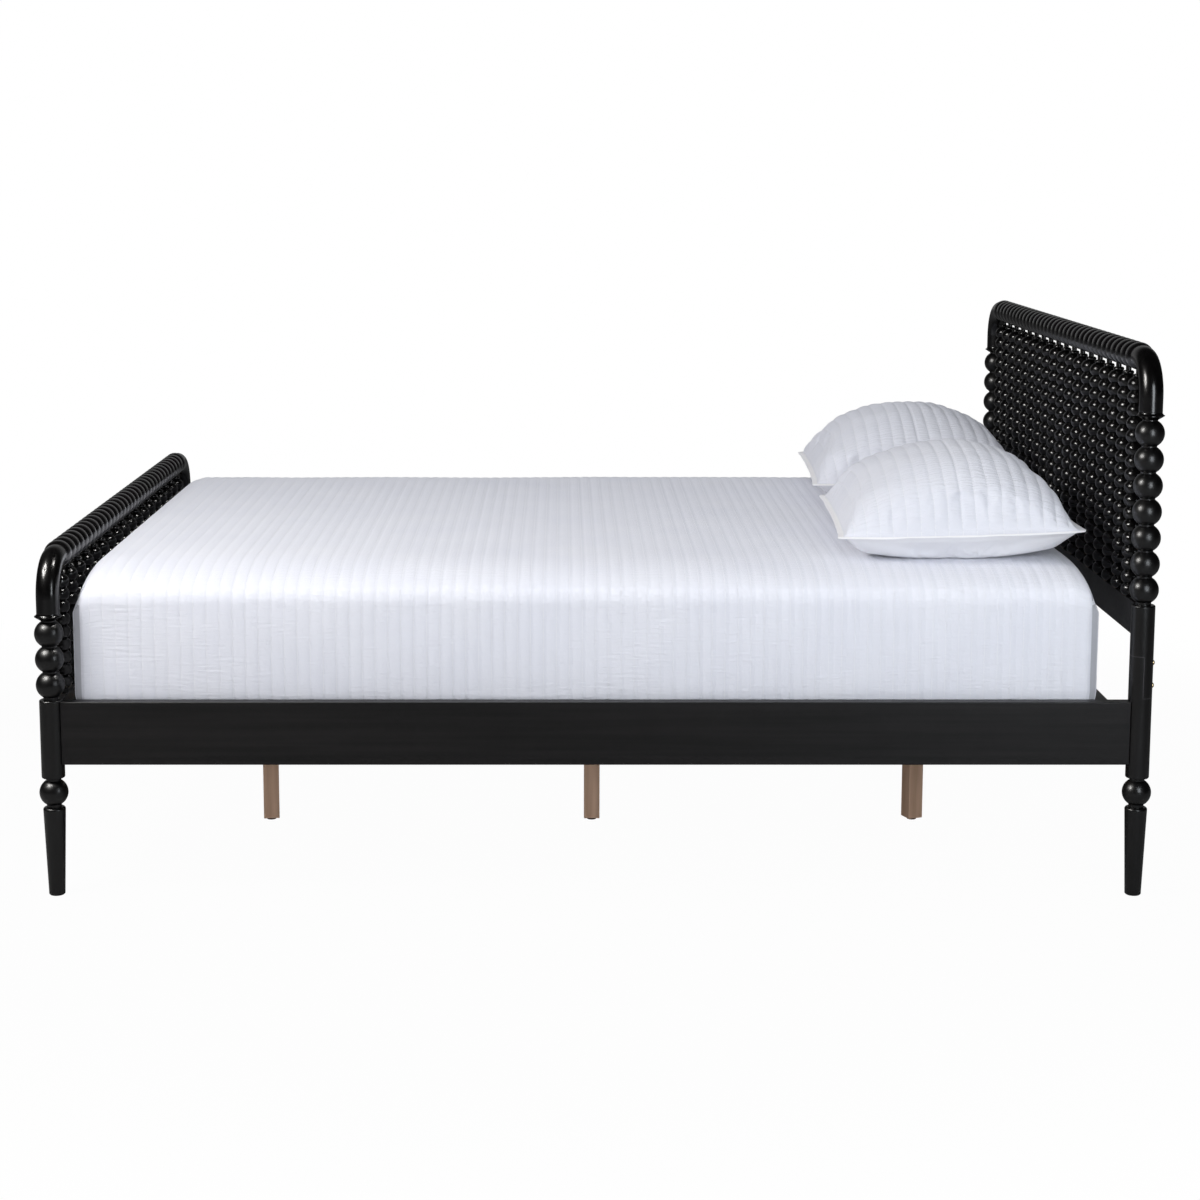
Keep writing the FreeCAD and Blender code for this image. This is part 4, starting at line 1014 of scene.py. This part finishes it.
def dressed_pillow(upper, lower, seed, mirrored):
    """Press in the channels and add the welt. Returns points, faces and flat places."""
    upper, lower = doubled(upper), doubled(lower)
    if mirrored:
        upper = upper[:, ::-1] * (1, -1, 1)
        lower = lower[:, ::-1] * (1, -1, 1)
    rows, columns = upper.shape[:2]
    s, t = np.meshgrid(np.linspace(-1, 1, rows), np.linspace(-1, 1, columns), indexing="ij")
    flat = np.stack([(s + 1) * PILLOW_CHANNELS * PILLOW_PITCH / 2, t * PILLOW_HALF[1]], axis=-1)
    near_edge = smooth_step(1 - np.maximum(np.abs(s), np.abs(t)), 0.0, EDGE_FADE)
    crest = roll(flat[..., 0], PILLOW_PITCH, PILLOW_FULLNESS)
    dents = sum(deep * clouds(upper, size, seed + more) for deep, size, more in PILLOW_DENTS)
    height = near_edge * ((crest - 1) * PILLOW_ROLL + dents)
    upper = upper + height[..., None] * grid_normals(upper)
    deep, size, more = UNDER_DENTS
    lower = lower + (near_edge * deep * clouds(lower, size, seed + more))[..., None] * (0, 0, 1)
    seam = edge_mask((rows, columns))
    upper[seam, 2] += WELT_HALF
    lower[seam, 2] -= WELT_HALF
    ring = np.concatenate([[(i, 0) for i in range(rows - 1)],
                           [(rows - 1, j) for j in range(columns - 1)],
                           [(i, columns - 1) for i in range(rows - 1, 0, -1)],
                           [(0, j) for j in range(columns - 1, 0, -1)]])
    loop = upper[ring[:, 0], ring[:, 1]]
    along = np.roll(loop, -1, axis=0) - np.roll(loop, 1, axis=0)
    out = np.stack([along[:, 1], -along[:, 0], np.zeros(len(loop))], axis=-1)
    out /= np.linalg.norm(out, axis=1, keepdims=True)
    deep, size, more = WELT_WAVE
    rim = loop + out * WELT + (deep * clouds(loop, size, seed + more))[:, None] * (0, 0, 1)
    count, size = rows * columns, len(ring)
    top_loop = ring[:, 0] * columns + ring[:, 1]
    low_loop = count + top_loop
    rim_top = 2 * count + np.arange(size)
    rim_low = 2 * count + size + np.arange(size)
    bands = []
    for first, second in ((top_loop, rim_top), (rim_top, rim_low), (rim_low, low_loop)):
        bands.append(np.stack([first, second, np.roll(second, -1), np.roll(first, -1)], axis=-1))
    points = np.concatenate([upper.reshape(-1, 3), lower.reshape(-1, 3), rim, rim - (0, 0, 2 * WELT_HALF)])
    under = grid_faces(rows, columns, first=count, flip=True)
    faces = np.concatenate([grid_faces(rows, columns), under, *bands])
    rim_flat = flat[ring[:, 0], ring[:, 1]] + out[:, :2] * WELT
    below_flat = flat.reshape(-1, 2) + (0.5 * PILLOW_PITCH, 0)
    flats = np.concatenate([flat.reshape(-1, 2), below_flat, rim_flat, rim_flat])
    return points, faces, flats


# %% Lay the pillows on the cover
PILLOW_PLACES = {"pillow_left": (0.745, -0.352), "pillow_right": (0.768, 0.328)}
PILLOW_TURN = math.radians(-2.7)
PILLOW_TILT = math.radians(-2.0)
SINKS = {"pillow_left": 0.019, "pillow_right": 0.007}
CLEAR = 0.0012
SEED_START = 21.3
SEED_STEP = 17


def cover_height(points):
    """The height of the cover's top under each point, from the measures of the cover above."""
    return top - top_drop(points[:, 0] - middle_x, points[:, 1], half_x, half_y)


def turned(points, tilt, turn):
    """Tilt points about the Y axis, then turn them about the Z axis."""
    c, s = math.cos(tilt), math.sin(tilt)
    x, y, z = c * points[:, 0] + s * points[:, 2], points[:, 1], c * points[:, 2] - s * points[:, 0]
    c, s = math.cos(turn), math.sin(turn)
    return np.stack([c * x - s * y, s * x + c * y, z], axis=-1)


for number, (node, (x, y)) in enumerate(PILLOW_PLACES.items()):
    points, faces, flats = dressed_pillow(upper, lower, SEED_START + SEED_STEP * number, number == 1)
    points = turned(points, PILLOW_TILT, PILLOW_TURN)
    points += (x, y, top - SINKS[node] - points[:, 2].min())
    points[:, 2] = np.maximum(points[:, 2], cover_height(points) + CLEAR)
    pillow = cloth_object(node + "_quilted", points, faces, flats, pillow_cotton)
    # The lower panel and the welt take the whiter cotton, which carries painted light.
    pillow.data.materials.append(plain_cotton)
    quilted = (upper.shape[0] * 2 - 2) * (upper.shape[1] * 2 - 2)
    pillow.data.polygons.foreach_set("material_index", (np.arange(len(faces)) >= quilted).astype(np.int32))
    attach(pillow, node)
    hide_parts(node)
    print(node, "from", np.round(points.min(0), 3), "to", np.round(points.max(0), 3))
